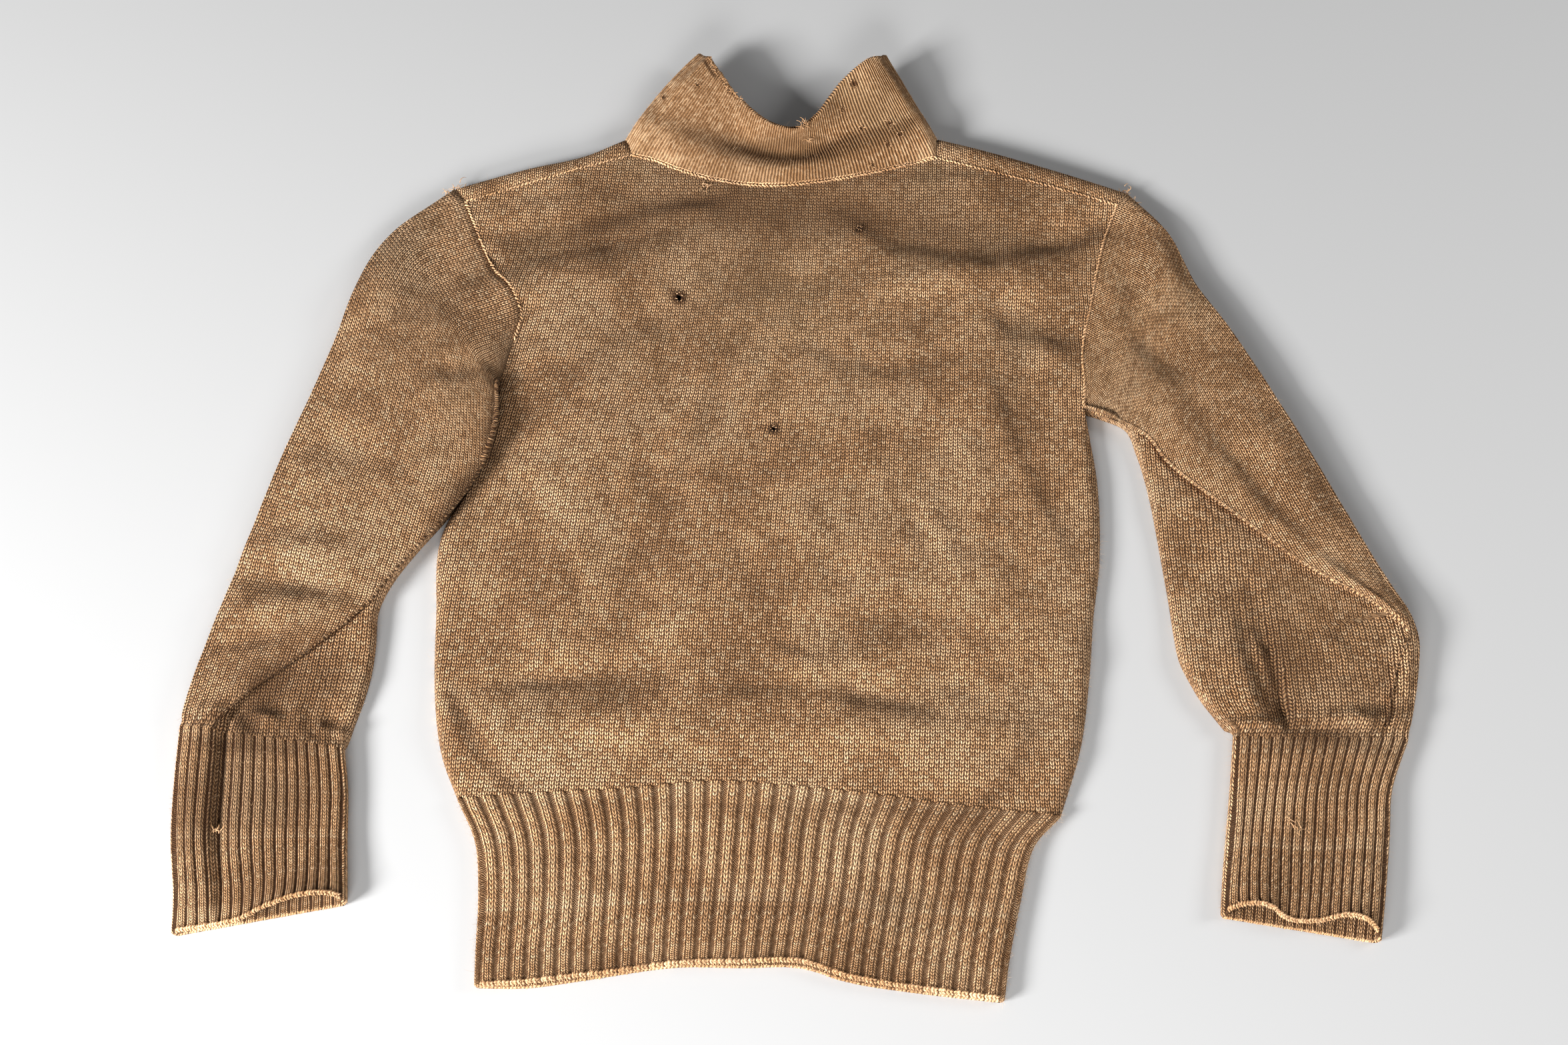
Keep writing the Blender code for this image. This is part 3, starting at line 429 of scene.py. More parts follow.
def add_object(name, points, faces, knit=None, smooth=True):
    """A mesh object in the frame of the solids; knit holds the place in the fabric at every face corner."""
    moved = np.asarray(points, float) - CENTRE
    mesh = bpy.data.meshes.new(name)
    mesh.from_pydata(moved.tolist(), [], [tuple(int(k) for k in f) for f in faces])
    if knit is not None:
        layer = mesh.uv_layers.new(name="knit")
        layer.data.foreach_set("uv", np.asarray(knit, np.float32).ravel())
    if smooth:
        mesh.polygons.foreach_set("use_smooth", [True] * len(mesh.polygons))
    mesh.update()
    made = bpy.data.objects.new(name, mesh)
    bpy.context.scene.collection.objects.link(made)
    return made


def cloth_shell(name, points, quads, knit, wall, edge_round):
    """A piece of knit as a thin closed shell with rounded edges."""
    normals = point_normals(points, quads)
    inner = points - wall * normals
    inner[:, 2] = np.where(points[:, 2] < 1e-6, wall, np.maximum(inner[:, 2], 0.4 * wall))
    edges = {}
    for f, q in enumerate(quads.tolist()):
        for i in range(4):
            edges[(q[i], q[(i + 1) % 4])] = (f, i)
    rim = [(a, b, f, i) for (a, b), (f, i) in edges.items() if (b, a) not in edges]
    outward = np.zeros_like(points)
    for a, b, f, i in rim:
        way = np.cross(points[b] - points[a], normals[a] + normals[b])
        way /= max(np.linalg.norm(way), 1e-12)
        outward[a] += way
        outward[b] += way
    ring = sorted({a for a, b, f, i in rim})
    place = {k: 2 * len(points) + n for n, k in enumerate(ring)}
    ways = outward[ring] / np.maximum(np.linalg.norm(outward[ring], axis=1), 1e-12)[:, None]
    middle = (points[ring] + inner[ring]) / 2 + ways * wall * edge_round
    middle[:, 2] = np.maximum(middle[:, 2], 0.0002)
    count = len(points)
    faces = quads.tolist() + (quads[:, ::-1] + count).tolist()
    uvs = [knit, knit[:, ::-1]]
    strips = []
    for a, b, f, i in rim:
        faces.append((b, a, place[a], place[b]))
        faces.append((place[b], place[a], a + count, b + count))
        ka, kb = knit[f][i], knit[f][(i + 1) % 4]
        strips.append((kb, ka, ka, kb))
        strips.append((kb, ka, ka, kb))
    return add_object(name, np.concatenate([points, inner, middle]), faces, np.concatenate([*uvs, np.array(strips)]))


def body_knit(x, y):
    """Wale and course numbers of the body, whose wales lean a little to the right towards the left shoulder."""
    lean = 0.055 + 0.075 * share((y + 0.05) / 0.35) * share((0.12 - x) / 0.30)
    return np.stack([(x - lean * (y + 0.15)) / WALE, y / COURSE + x * 6], axis=-1)


def open_holes(points, quads, knit, holes):
    """Opens moth holes: a small block of the knit is taken out and its rim drawn to an uneven oval."""
    points = points.copy()
    keep = np.ones(len(quads), bool)
    for n, (hx, hy, half_width, half_height) in enumerate(np.array(holes) / 1000):
        middle = int(np.argmin(np.hypot(points[:, 0] - hx, points[:, 1] - hy)))
        block = np.any(quads == middle, axis=1)
        keep &= ~block
        rim = sorted(set(quads[block].ravel().tolist()) - {middle})
        offset = points[:, :2] - points[middle, :2]
        reach = np.hypot(offset[:, 0], offset[:, 1])
        inner_reach = np.mean(reach[rim])
        angle = np.arctan2(offset[:, 1], offset[:, 0])
        oval = 1 / np.hypot(np.cos(angle) / half_width, np.sin(angle) / half_height)
        oval *= 1 + 0.10 * np.sin(3 * angle + n) + 0.06 * np.sin(5 * angle + 2 * n)
        far = 0.013
        moving = (reach < far) & (reach > 1e-9)
        grown = oval + np.clip(reach - inner_reach, 0, None) * (far - oval) / (far - inner_reach)
        centre = np.array([hx, hy])
        fade = share((far - reach) / far)[:, None]
        target = centre + np.stack([np.cos(angle), np.sin(angle)], axis=1) * grown[:, None]
        moved = points[:, :2] * (1 - fade) + (target + (points[middle, :2] - centre) * (1 - fade)) * fade
        moved[rim] = target[rim]
        points[moving, :2] = moved[moving]
        points[rim, 2] += LOOP_RISE
    return *used_only(points, quads[keep]), knit[keep]


def back_panel():
    u = spaced((1, 2, 3, 44, 88, 44, 3, 2, 1), (0, 0.003, 0.010, 0.025, NECK[0], NECK[1], 0.975, 0.990, 0.997, 1))
    v = spaced((12, 110, 76), (0, 0.06, ARMPIT, 1))
    grid = back_points(*np.meshgrid(u, v))
    points = grid.reshape(-1, 3)
    quads = grid_quads(*grid.shape[:2])
    knit = body_knit(grid[..., 0], grid[..., 1])
    # Over the side rolls the wales are counted along the slope.
    steps = np.diff(grid, axis=1)
    rise = np.cumsum(np.linalg.norm(steps, axis=2) - np.linalg.norm(steps[..., :2], axis=2), axis=1)
    rise = np.pad(rise, ((0, 0), (1, 0)))
    knit[..., 0] += (rise - rise[:, rise.shape[1] // 2][:, None]) / WALE
    shell = open_holes(points, quads, corner_values(knit), HOLES)
    return cloth_shell("back_panel_knit", *shell, WALL, edge_round=0.30)


def front_panel():
    u = spaced((24, 40, 24), (0, NECK[0], NECK[1], 1))
    v = spaced((4, 40, 24), (0, 0.08, ARMPIT, 1))
    flat = body_plan(*np.meshgrid(u, v), (LEFT_SHOULDER, FRONT_NECK, RIGHT_SHOULDER))
    seam = top_edge(u, LEFT_SHOULDER, BACK_NECK, RIGHT_SHOULDER)
    edge = top_edge(u, LEFT_OUTLINE, FRONT_NECK, RIGHT_OUTLINE)
    inset = (seam - edge) / np.maximum(np.linalg.norm(seam - edge, axis=1), 1e-6)[:, None]
    is_shoulder = (u <= NECK[0] + 1e-6) | (u >= NECK[1] - 1e-6)
    rise = back_height(seam[:, 0], seam[:, 1], 1.0)
    rings = [np.concatenate([row, np.zeros((len(u), 1))], axis=1) for row in flat]
    for angle in np.linspace(-85, 84, 14):
        a = np.radians(angle)
        plan = edge + inset * SHOULDER_ROLL * (1 - np.cos(a))
        rings.append(np.concatenate([plan, (rise * (1 + np.sin(a)) / 2)[:, None]], axis=1))
    close = seam - inset * SEAM_GAP
    rings.append(np.concatenate([close, rise[:, None]], axis=1))
    grid = np.array(rings)
    columns = len(u)
    lengths = np.linalg.norm(np.diff(grid, axis=0), axis=2)
    climb = np.concatenate([np.zeros((1, columns)), np.cumsum(lengths, axis=0)])
    place = np.stack([grid[..., 0] / WALE, climb / COURSE], axis=-1)
    quads, knit = grid_quads(*grid.shape[:2]), corner_values(place)
    low_row, left_column = quads[:, 0] // columns, quads[:, 0] % columns
    shoulder = is_shoulder[left_column] & is_shoulder[left_column + 1]
    over_neck = (u[left_column] < NECK[1] - 1e-6) & (u[left_column + 1] > NECK[0] + 1e-6)
    keep = (low_row < len(v) - 1) | (shoulder & ~over_neck)
    quads, knit = quads[keep][:, ::-1], knit[keep][:, ::-1]
    return cloth_shell("front_panel_knit", *used_only(grid.reshape(-1, 3), quads), knit, WALL, edge_round=0.1)


def ring_profile(outer, fold, inner, top, step):
    """Outer points of one sleeve section, from the inner edge under the sleeve and back over it."""
    outer, fold, inner = (np.array(p, float) for p in (outer, fold, inner))
    lower = top - step * FOLD_STEP
    tuck = step * FOLD_TUCK
    width = np.linalg.norm(inner - outer)
    span = np.linalg.norm(fold - outer)
    to_fold = (fold - outer) / span
    start = fold - to_fold * tuck
    apart = share(np.linalg.norm(inner - fold) / 0.010)
    inner = start + (inner - start) * apart + to_fold * 0.0005
    reach = np.linalg.norm(inner - start)
    to_inner = (inner - start) / reach
    across = (inner - outer) / width
    curl = min(0.009, 0.4 * span)
    corner = min(0.006, 0.6 * reach)
    out = []
    for f in np.linspace(1, 0, ARMHOLE_STEPS + 1):
        at = inner + (outer - inner) * (1 - f)
        out.append((*(at + across * (curl * 0.45 * (1 - f) ** 6 - min(corner, 0.002) * f ** 6)), 0.0))
    for inset, height in ((0.10, 0.22), (0.0, 0.50), (0.18, 0.80)):
        out.append((*(outer + to_fold * curl * inset), top * height))
    for f in np.linspace(0, 1, ARMHOLE_STEPS + 1):
        plan = outer + to_fold * (curl * 0.5 + (span - curl * 0.5 - 0.0016) * f)
        rounding = 0.13 * (1 - f) ** 4 + 0.12 * step * share((f - 0.86) / 0.14)
        puff = 0.14 * step * np.exp(-((f - 0.80) / 0.17) ** 2)
        out.append((*plan, top * (LAID - rounding + puff + 0.07 * np.sin(np.pi * f))))
    drop = LAID * (top - lower)
    for past, fall in ((-0.0010 * (1 - step), 0.25), (0.0003 * step - 0.0005 * (1 - step), 0.6)):
        out.append((*(fold + to_fold * past), LAID * top - drop * fall))
    for f in np.linspace(0, 1, 6):
        hollow = 0.0026 * step * np.exp(-(f / 0.25) ** 2)
        out.append((*(start + to_inner * ((reach - corner) * f)), lower * (LAID - 0.06 * f * f) - hollow))
    for f in (0.35, 0.7, 1.0):
        a = f * np.pi / 2
        plan = inner - to_inner * corner * (1 - np.sin(a))
        out.append((*plan, lower * (LAID - 0.06) * (0.30 + 0.70 * np.cos(a))))
    return np.array(out)


def cuff_loop(lines, way):
    """The cuff's first ring in the order of a sleeve section: under, outer side, over, inner side."""
    over, right, under, left = lines
    parts = [under, left, over, right] if way < 0 else [p[::-1] for p in (under, right, over, left)]
    for k in (1, 3):
        parts[k] = np.concatenate([parts[k - 1][-1:], parts[k], parts[(k + 1) % 4][:1]])
    return parts


def sleeve(name, table, armhole, edge, way, cuff_lines, merge_row):
    """A sleeve as one tube, folded at the elbow so that its upper part lies on its lower part."""
    rows = np.array(table, float)
    rows = follow(np.arange(len(rows)), rows, np.linspace(0, len(rows) - 1, SLEEVE_STEPS + 1))
    rings = []
    for i, row in enumerate(rows):
        outer, fold, inner = row[0:2] / 1000, row[2:4] / 1000, row[4:6] / 1000
        rings.append(ring_profile(outer, inner if i == 0 else fold, inner, row[6] / 1000, row[7]))
    rings = np.array(rings)
    count = rings.shape[1]
    n = ARMHOLE_STEPS + 1
    line = along(armhole, np.linspace(0, 1, n)) + np.array([way * SEAM_GAP, 0])
    roll = np.array(edge) / 1000 + np.array([way * SEAM_GAP, 0])
    end = line[-1]
    rise = back_height(line[:, 0], line[:, 1], 1.0)
    rings[0, :n] = np.column_stack([line, np.zeros(n)])
    rings[0, n + 3:2 * n + 3] = np.column_stack([line, rise])[::-1]
    for k, (out, up) in enumerate(((0.60, 0.06), (1.0, 0.5), (0.70, 0.90))):
        plan = end + (roll + (way * 0.0010, 0) - end) * out
        rings[0, n + k] = (*plan, rise[-1] * up)
    for k in range(2 * n + 3, count):
        rings[0, k] = (*line[0], rise[0] * (1 - (k - 2 * n - 2) / (count - 2 * n - 2)))
    # Columns: under the sleeve, outer side, over it to the fold, down the fold, on to the inner corner, inner side.
    outer_stop, fold_stop, inner_stop = n + 3, 2 * n + 2, 2 * n + 10
    stops = (0, n - 1, outer_stop, fold_stop, fold_stop + 3, inner_stop, count)
    places = spaced((20, 12, 60, 10, 40, 12), stops)[:-1]
    columns = len(places)
    row_places = np.append(spaced((78, 34), (0, 11.5, SLEEVE_STEPS - 0.012)), SLEEVE_STEPS)
    to_cuff = SLEEVE_STEPS - row_places
    grid = refine(rings, row_places, places)
    grid[..., 2] = np.maximum(grid[..., 2], 0)
    upper = (places > n + 0.5) & (places < count - 2)
    flank = share((places - n - 0.5) / 2.5) * share((count - 2 - places) / 2.0)
    x, y = grid[..., 0], grid[..., 1]
    inside = share(row_places / 0.8)[:, None]
    bumps = 1.4 * relief(x, y, SLEEVE_CREASES) + ripple(x + 0.3, y)
    raised = grid[..., 2] + np.where(upper, flank, 0)[None, :] * bumps * inside
    grid[..., 2] = np.where(upper[None, :], np.maximum(raised, UPPER_LAYER * flank[None, :]), grid[..., 2])

    # Near the armpit the left sleeve's fold laps over the side edge of the body.
    if way < 0:
        lap = np.exp(-((row_places - 2.1) / 1.2) ** 2)[:, None] * np.exp(-((places - fold_stop) / 2.0) ** 2)[None, :]
        lap = lap * share(row_places / 0.5)[:, None]
        grid[..., 0] += SLEEVE_LAP * lap
        grid[..., 2] += LAP_RISE * lap

    # The last rows take the form of the cuff, ribs included.
    target = np.empty((columns, 3))
    travel = travelled(np.concatenate([grid[-1], grid[-1, :1]]))
    where = np.append(places, count)
    quarters = (0, n - 1, outer_stop, inner_stop, count)
    for low, high, part in zip(quarters[:-1], quarters[1:], cuff_loop(cuff_lines, way)):
        mine = (places >= low) & (places < high)
        a, b = np.interp((low, high), where, travel)
        t = (travel[:-1][mine] - a) / (b - a)
        run = travelled(part)
        target[mine] = np.stack([np.interp(t, run / run[-1], part[:, k]) for k in range(3)], axis=1)
    shift = grid.mean(axis=1) - grid[-1].mean(axis=0)
    shift[:, 2] = 0
    blend = share(1 - to_cuff / 0.50)[:, None, None]
    uneven = 0.6 + 0.9 * soft_noise(grid[..., 0] / 0.022, grid[..., 1] / 0.05)
    plump = CUFF_PUFF * np.exp(-((0.55 - to_cuff) / 0.30) ** 2)[:, None] * flank[None, :] * uneven
    last_rib = (grid[-1, :, 0] - grid[-1, :, 0].min()) / np.ptp(grid[-1, :, 0]) * CUFF_RIBS % 1
    drawn_in = share((1.4 - to_cuff) / 1.2)[:, None]
    pleats = PLEAT_DEPTH * share((0.44 - np.abs(last_rib - 0.5)) / 0.13)[None, :] * drawn_in
    grid[..., 2] += plump + (pleats - 0.0006) * flank[None, :] * drawn_in
    grid = grid * (1 - blend) + (target[None] + shift[:, None]) * blend
    grid[..., 2] = np.maximum(grid[..., 2], 0)

    # Place in the knit: the upper arm follows its outer edge; on the forearm the wales run down to the cuff,
    # and near the edges they follow the edge.
    closed = np.concatenate([grid, grid[:, :1]], axis=1)
    girth = np.concatenate([np.zeros((len(grid), 1)),
                            np.cumsum(np.linalg.norm(np.diff(closed, axis=1), axis=2), axis=1)], axis=1)
    outer_corner, inner_corner = np.searchsorted(places, (outer_stop, inner_stop))
    from_outer = girth - girth[:, outer_corner:outer_corner + 1]
    from_inner = girth[:, inner_corner:inner_corner + 1] - girth
    middle = grid[:, outer_corner:outer_corner + 40]
    length = np.concatenate([[0], np.cumsum(np.linalg.norm(np.diff(middle, axis=0), axis=2).mean(axis=1))])
    around_sleeve = np.stack([from_outer / WALE, -np.repeat(length[:, None], columns + 1, axis=1) / COURSE], axis=-1)
    beyond = from_inner < 0
    flat_x = np.where(beyond, grid[:, inner_corner:inner_corner + 1, 0] - way * np.abs(from_inner), closed[..., 0])
    inner_sway, outer_sway = (MOST_SWAY * np.tanh((grid[:, k, 0] - grid[-1, k, 0]) / MOST_SWAY)
                              for k in (inner_corner, outer_corner))
    outer_sway = np.where(row_places >= merge_row, outer_sway, 0)
    flat_x = flat_x - inner_sway[:, None] * np.where(beyond, 1, np.exp(-(from_inner / 0.055) ** 2))
    flat_x = flat_x - outer_sway[:, None] * np.exp(-(np.maximum(from_outer, 0) / 0.050) ** 2)
    last_x = closed[-1, :, 0]
    ends = np.sort([last_x[outer_corner], last_x[inner_corner]])
    rib_place = (last_x - ends[0]) / (ends[1] - ends[0]) * CUFF_RIBS
    aligned = 2 * rib_place + 0.5
    centre = (outer_corner + inner_corner) // 2
    aligned += (flat_x[-1, centre] / WALE - aligned[centre]).round()
    near_cuff = share(1 - to_cuff / 1.1)[:, None]
    over = ((np.arange(columns + 1) >= outer_corner) & (np.arange(columns + 1) <= inner_corner))[None, :]
    wale_number = np.where(over, flat_x / WALE * (1 - near_cuff) + aligned[None, :] * near_cuff, flat_x / WALE)
    straight = np.stack([wale_number, closed[..., 1] / COURSE], axis=-1)
    # Painted shade in the rib furrows that run on from the cuff into the sleeve.
    off_rib = np.abs(rib_place % 1 - 0.5)
    reach = 1.2 + 0.6 * soft_noise(np.floor(rib_place) * 1.7 + 0.5, np.full_like(rib_place, 4.5))
    run_on = share(1 - to_cuff[:, None] / reach[None, :]) ** 0.6
    furrow = share((off_rib - 0.34) / 0.10)[None, :] * run_on * over
    FURROW_SHADES[name] = FURROW_SHADE * furrow[:, :-1].ravel()
    knit = corner_values(around_sleeve)
    quads = grid_quads(len(grid), columns, around=True)
    at, row_at = places[quads[:, 0] % columns], row_places[quads[:, 0] // columns]
    forearm = (at >= fold_stop + 2) | (at < n - 0.5) | (row_at >= merge_row)
    knit = np.where(forearm[:, None, None], corner_values(straight), knit)
    if way < 0:
        quads, knit = quads[:, ::-1], knit[:, ::-1]
    return cloth_shell(name, grid.reshape(-1, 3), quads, knit, WALL, edge_round=0.12)


def ribbed_band(name, table, ribs, lip, raised, rim=((0, 0), (1, 0)), joint=None, rolled=False):
    """A ribbed tube laid flat: ribs on the upper side, a flat plain underside."""
    rows = np.array(table, float)
    stations = np.insert(np.linspace(0, 1, BAND_ROWS), 1, 0.004)
    rows = follow(np.linspace(0, 1, len(rows)), rows, stations)
    across = np.arange(ribs * RIB_COLUMNS + 1) / (ribs * RIB_COLUMNS)
    phase = across * ribs % 1.0
    proud = share((raised / 2 + 0.05 - np.abs(phase - 0.5)) / 0.13)
    rim, lip = np.array(rim, float), np.array(lip, float)
    ends = np.array(table[0][:4], float).reshape(2, 2) / 1000
    turns = np.radians([65, 40, 12, -15, -45, -75])
    under = np.linspace(1, 0, UNDER_COLUMNS)
    rings = []
    for s, row in zip(stations, rows):
        left, right, height = row[0:2] / 1000, row[2:4] / 1000, row[4] / 1000
        width = np.linalg.norm(right - left)
        way = (right - left) / width
        down = np.array([way[1], -way[0]])
        curl = 0.006 / width

        def sag(g):
            start = 0.0
            if joint:
                start = (along(joint, g) - (ends[0] + (ends[1] - ends[0]) * g[:, None]))[:, 1] - 0.0006
            return follow(rim[:, 0], rim[:, 1], g) / 1000 * s ** 2 + start * (1 - s) ** 2

        g = curl * 0.6 + (1 - 1.2 * curl) * across
        round_off = np.sqrt(np.clip(1 - np.clip(1 - np.minimum(g, 1 - g) / (3 * curl), 0, 1) ** 2, 0, 1))
        level = (height - RIB_HEIGHT) * (0.80 + 0.20 * round_off)
        set_back, stand = follow(lip[:, 0], lip[:, 1:], g).T / 1000 * s ** 3
        level = level + stand
        if rolled:
            roll = CUFF_ROLL * share(g / 0.13) * (1 - share((g - 0.215) / 0.045))
            level = level + (roll - CUFF_GROOVE * np.exp(-((g - 0.28) / 0.035) ** 2)) * (1 - s ** 4)
        sway = 0.0012 * soft_noise(g * 5 + 3, np.full_like(g, s * 2 + 5)) * np.sin(np.pi * s)
        plan = left + way * (width * g + sway)[:, None] - down * (sag(g) + set_back)[:, None]
        spread = soft_noise(plan[:, 0] / 0.03, plan[:, 1] / 0.05) * 0.0006 * np.sin(np.pi * s)
        upper = np.column_stack([plan, level + RIB_HEIGHT * proud + spread])
        g = curl * 0.5 + (1 - curl) * under
        lower = np.column_stack([left + way * (width * g)[:, None] - down * sag(g)[:, None], np.zeros(len(g))])
        right_turn, left_turn = (
            [(*(end + inward * EDGE_TURN * (1 - np.cos(t)) - down * sag(at)[0]), height / 2 * (1 + np.sin(t) * 0.92))
             for t in order]
            for end, inward, at, order in ((right, -way, np.ones(1), turns), (left, way, np.zeros(1), turns[::-1])))
        rings.append(np.concatenate([upper, right_turn, lower, left_turn]))
    grid = np.array(rings)
    columns = grid.shape[1]
    stops = np.cumsum([len(across), len(turns), len(under)])
    EDGE_LINES[name], _, EDGE_LINES[name + "_under"], _ = (part.copy() for part in np.split(grid[-1], stops))
    EDGE_LINES[name + "_joint"] = np.split(grid[0], stops)
    side_wales = np.arange(1, len(turns) + 1) * 0.6
    wales = np.concatenate([across * ribs * 4, ribs * 4 + side_wales, ribs * 4 + 4 + (1 - under) * ribs * 4,
                            ribs * 8 + 4 + side_wales, [ribs * 8 + 8]])
    length = np.linalg.norm(rows[-1, :2] - rows[0, :2]) / 1000
    knit = np.stack(np.broadcast_arrays(wales[None, :], -stations[:, None] * length / COURSE), axis=-1)
    quads = grid_quads(len(grid), columns, around=True)[:, ::-1]
    return cloth_shell(name, grid.reshape(-1, 3), quads, corner_values(knit)[:, ::-1], WALL, edge_round=0.5)


def collar():
    """The doubled collar band: a short flattened tube whose side folds stand up as two wings."""
    t = np.linspace(0, 1, NECK_STEPS + 1)
    back_seam, front_seam = along(BACK_NECK, t), along(FRONT_NECK, t)
    rise = back_height(back_seam[:, 0], back_seam[:, 1], 1.0)
    back, front = np.array(COLLAR_BACK, float), np.array(COLLAR_FRONT, float)
    b = follow(back[:, 0], back[:, 1:], t) / 1000
    f = follow(front[:, 0], front[:, 1:], t)[::-1] / 1000
    f[:, 2] = np.maximum(f[:, 2], 0)
    rows = [(*(back_seam[k] + (0, SEAM_GAP)), rise[k], *b[k], 1) for k in range(len(t))]
    for corner, outline, peak, way, k in ((back_seam[-1], RIGHT_OUTLINE[0], RIGHT_PEAK, -1, 1),
                                          (back_seam[0], LEFT_OUTLINE[-1], LEFT_PEAK, 1, 0)):
        outline, peak = np.array(outline) / 1000, np.array(peak) / 1000
        high, low = (b[-1], f[0]) if k else (b[0], f[-1])
        level = rise[-1] if k else rise[0]
        fold = []
        for out, up in ((0.7, 0.93), (1.0, 0.5), (0.7, 0.07)):
            plan = corner + (outline - corner) * out + (way * 0.0008, 0)
            top = peak if up == 0.5 else (peak + (high if up > 0.5 else low)[:3]) / 2
            fold.append((*plan, level * up, *top, 0.002 if up > 0.5 else 0, 1 if up > 0.5 else 0))
        rows += fold if k else fold[::-1]
        if k:
            rows += [(*(front_seam[-1 - m] + (0, 0.001)), 0.0, *f[m], 0) for m in range(len(t))]
    loop = np.array(rows)
    left_end = np.array(LEFT_OUTLINE[-1]) / 1000
    swell = np.exp(-(np.linalg.norm(loop[:, :2] - left_end, axis=1) / 0.02) ** 2)
    stations = (0, 0.12, 0.25, 0.4, 0.55, 0.7, 0.85, 1)
    rings = []
    for s in stations:
        points = loop[:, 0:3] * (1 - s) + loop[:, 3:6] * s
        points[:, 0] -= swell * COLLAR_SWELL * np.sin(np.pi * s)
        points[:, 2] += loop[:, 7] * 0.004 * np.sin(np.pi * min(s / 0.45, 1))
        points[:, 2] += 1.25 * loop[:, 6] * np.exp(-((s - 0.66) / 0.20) ** 2)
        points[:, 2] = np.maximum(points[:, 2], 0)
        rings.append(points)
    rings = np.array(rings)
    last = len(t) - 1
    places = spaced((364, 24, 90, 24), (0, last, last + 4, 2 * last + 4, len(loop)))[:-1]
    grid = refine(rings, np.linspace(0, len(stations) - 1, COLLAR_ROWS), places)
    grid[..., 2] = np.maximum(grid[..., 2], 0)
    columns = len(places)
    tear = np.array(COLLAR_TEAR)
    depth = np.where(places < last, np.interp(places / last, tear[:, 0], tear[:, 1]), 0) / 1000
    depth *= 1 + 0.35 * soft_noise(places * 2.1, places * 0.7)
    down = grid[TEAR_ROW] - grid[-1]
    down /= np.linalg.norm(down, axis=1)[:, None]
    behind = int(np.searchsorted(places, last * 0.28))
    EDGE_LINES["collar_inner"] = (grid[-1, 2:behind].copy(), down[2:behind].copy())
    for row in range(TEAR_ROW + 1, COLLAR_ROWS):
        grid[row] += down * (depth * share((row - TEAR_ROW) / (COLLAR_ROWS - 1 - TEAR_ROW)))[:, None]
    EDGE_LINES["collar"] = grid[-1].copy()
    girth = travelled(np.concatenate([grid[0], grid[0, :1]]))
    ribs = np.round(girth[-1] / COLLAR_RIB)
    turn = girth / girth[-1] * ribs
    quads = grid_quads(len(grid), columns, around=True)
    flat = grid.reshape(-1, 3)
    normals = point_normals(flat, quads).reshape(grid.shape)
    fine = (places < last + 2) | (places > 2 * last + 6)
    wave = np.where(fine, 0.00045 * np.cos(2 * np.pi * turn[:-1]), 0)
    grid = grid + normals * (wave[None, :, None] + 0.5 * ripple(grid[..., 0], grid[..., 1] + 0.2)[..., None])
    grid[..., 2] = np.maximum(grid[..., 2], 0)
    height = travelled(grid[:, 180])
    knit = np.stack(np.broadcast_arrays(turn[None, :], height[:, None] / COLLAR_COURSE), axis=-1)
    return cloth_shell("collar_rib", grid.reshape(-1, 3), quads, corner_values(knit), COLLAR_WALL, edge_round=0.5)


def collar_inner_layer():
    """The strip of the collar's inner layer that shows where its outer layer is torn."""
    rim, down = EDGE_LINES["collar_inner"]
    rows = []
    for back, below in ((0.0, 0.0012), (0.0015, 0.0014), (0.0035, 0.0022), (0.0060, 0.0030), (0.0090, 0.0036)):
        row = rim + down * (back + 0.0004 * soft_noise(rim[:, 0] / 0.004, rim[:, 1] / 0.004)[:, None])
        row[:, 2] -= below
        rows.append(row)
    grid = np.array(rows)[::-1]
    knit = np.stack(np.broadcast_arrays(travelled(rim)[None, :] / 0.0022, np.arange(5.0)[:, None] * 1.4), axis=-1)
    return cloth_shell("collar_inner_layer", grid.reshape(-1, 3), grid_quads(*grid.shape[:2]), corner_values(knit),
                       0.0016, edge_round=0.5)


# Yarn: linked seams, edge stitches, torn loops and the fuzz of old wool.
# A face whose normal rises less than this stands at an edge of the cloth.
STEEP = 0.55


def unit(rows):
    """The same directions at length 1."""
    return rows / np.maximum(np.linalg.norm(rows, axis=-1), 1e-9)[..., None]


def tubes(paths, radii, sides):
    """Closed tubes along paths of equal length: points (tubes, steps, 3) and radii (tubes, steps)."""
    paths, radii = np.asarray(paths, float), np.asarray(radii, float)
    count, steps = radii.shape
    ahead = unit(np.gradient(paths, axis=1))
    helper = np.where(np.abs(ahead[..., 2:3]) > 0.9, (1.0, 0.0, 0.0), (0.0, 0.0, 1.0))
    across = unit(np.cross(ahead, helper))
    over = np.cross(across, ahead)
    turn = 2 * np.pi * np.arange(sides) / sides
    ring = across[:, :, None] * np.cos(turn)[:, None] + over[:, :, None] * np.sin(turn)[:, None]
    points = (paths[:, :, None] + radii[:, :, None, None] * ring).reshape(-1, 3)
    start = (np.arange(count) * steps * sides)[:, None, None]
    row = (np.arange(steps - 1) * sides)[None, :, None]
    s, n = np.arange(sides)[None, None, :], (np.arange(sides) + 1)[None, None, :] % sides
    quads = np.stack(np.broadcast_arrays(start + row + s, start + row + sides + s,
                                         start + row + sides + n, start + row + n), axis=-1).reshape(-1, 4)
    ends = np.arange(count)[:, None] * steps * sides + np.arange(sides)
    return points, quads.tolist() + ends.tolist() + (ends + (steps - 1) * sides)[:, ::-1].tolist()


def yarn_piece(name, batches, finish):
    """One piece from several batches of tubes."""
    points, faces, total = [], [], 0
    for some, these in batches:
        points.append(some)
        faces += [[k + total for k in f] for f in these]
        total += len(some)
    made = add_object(name, np.concatenate(points), faces)
    made.data.materials.append(finish)
    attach(made, "root")
    return made


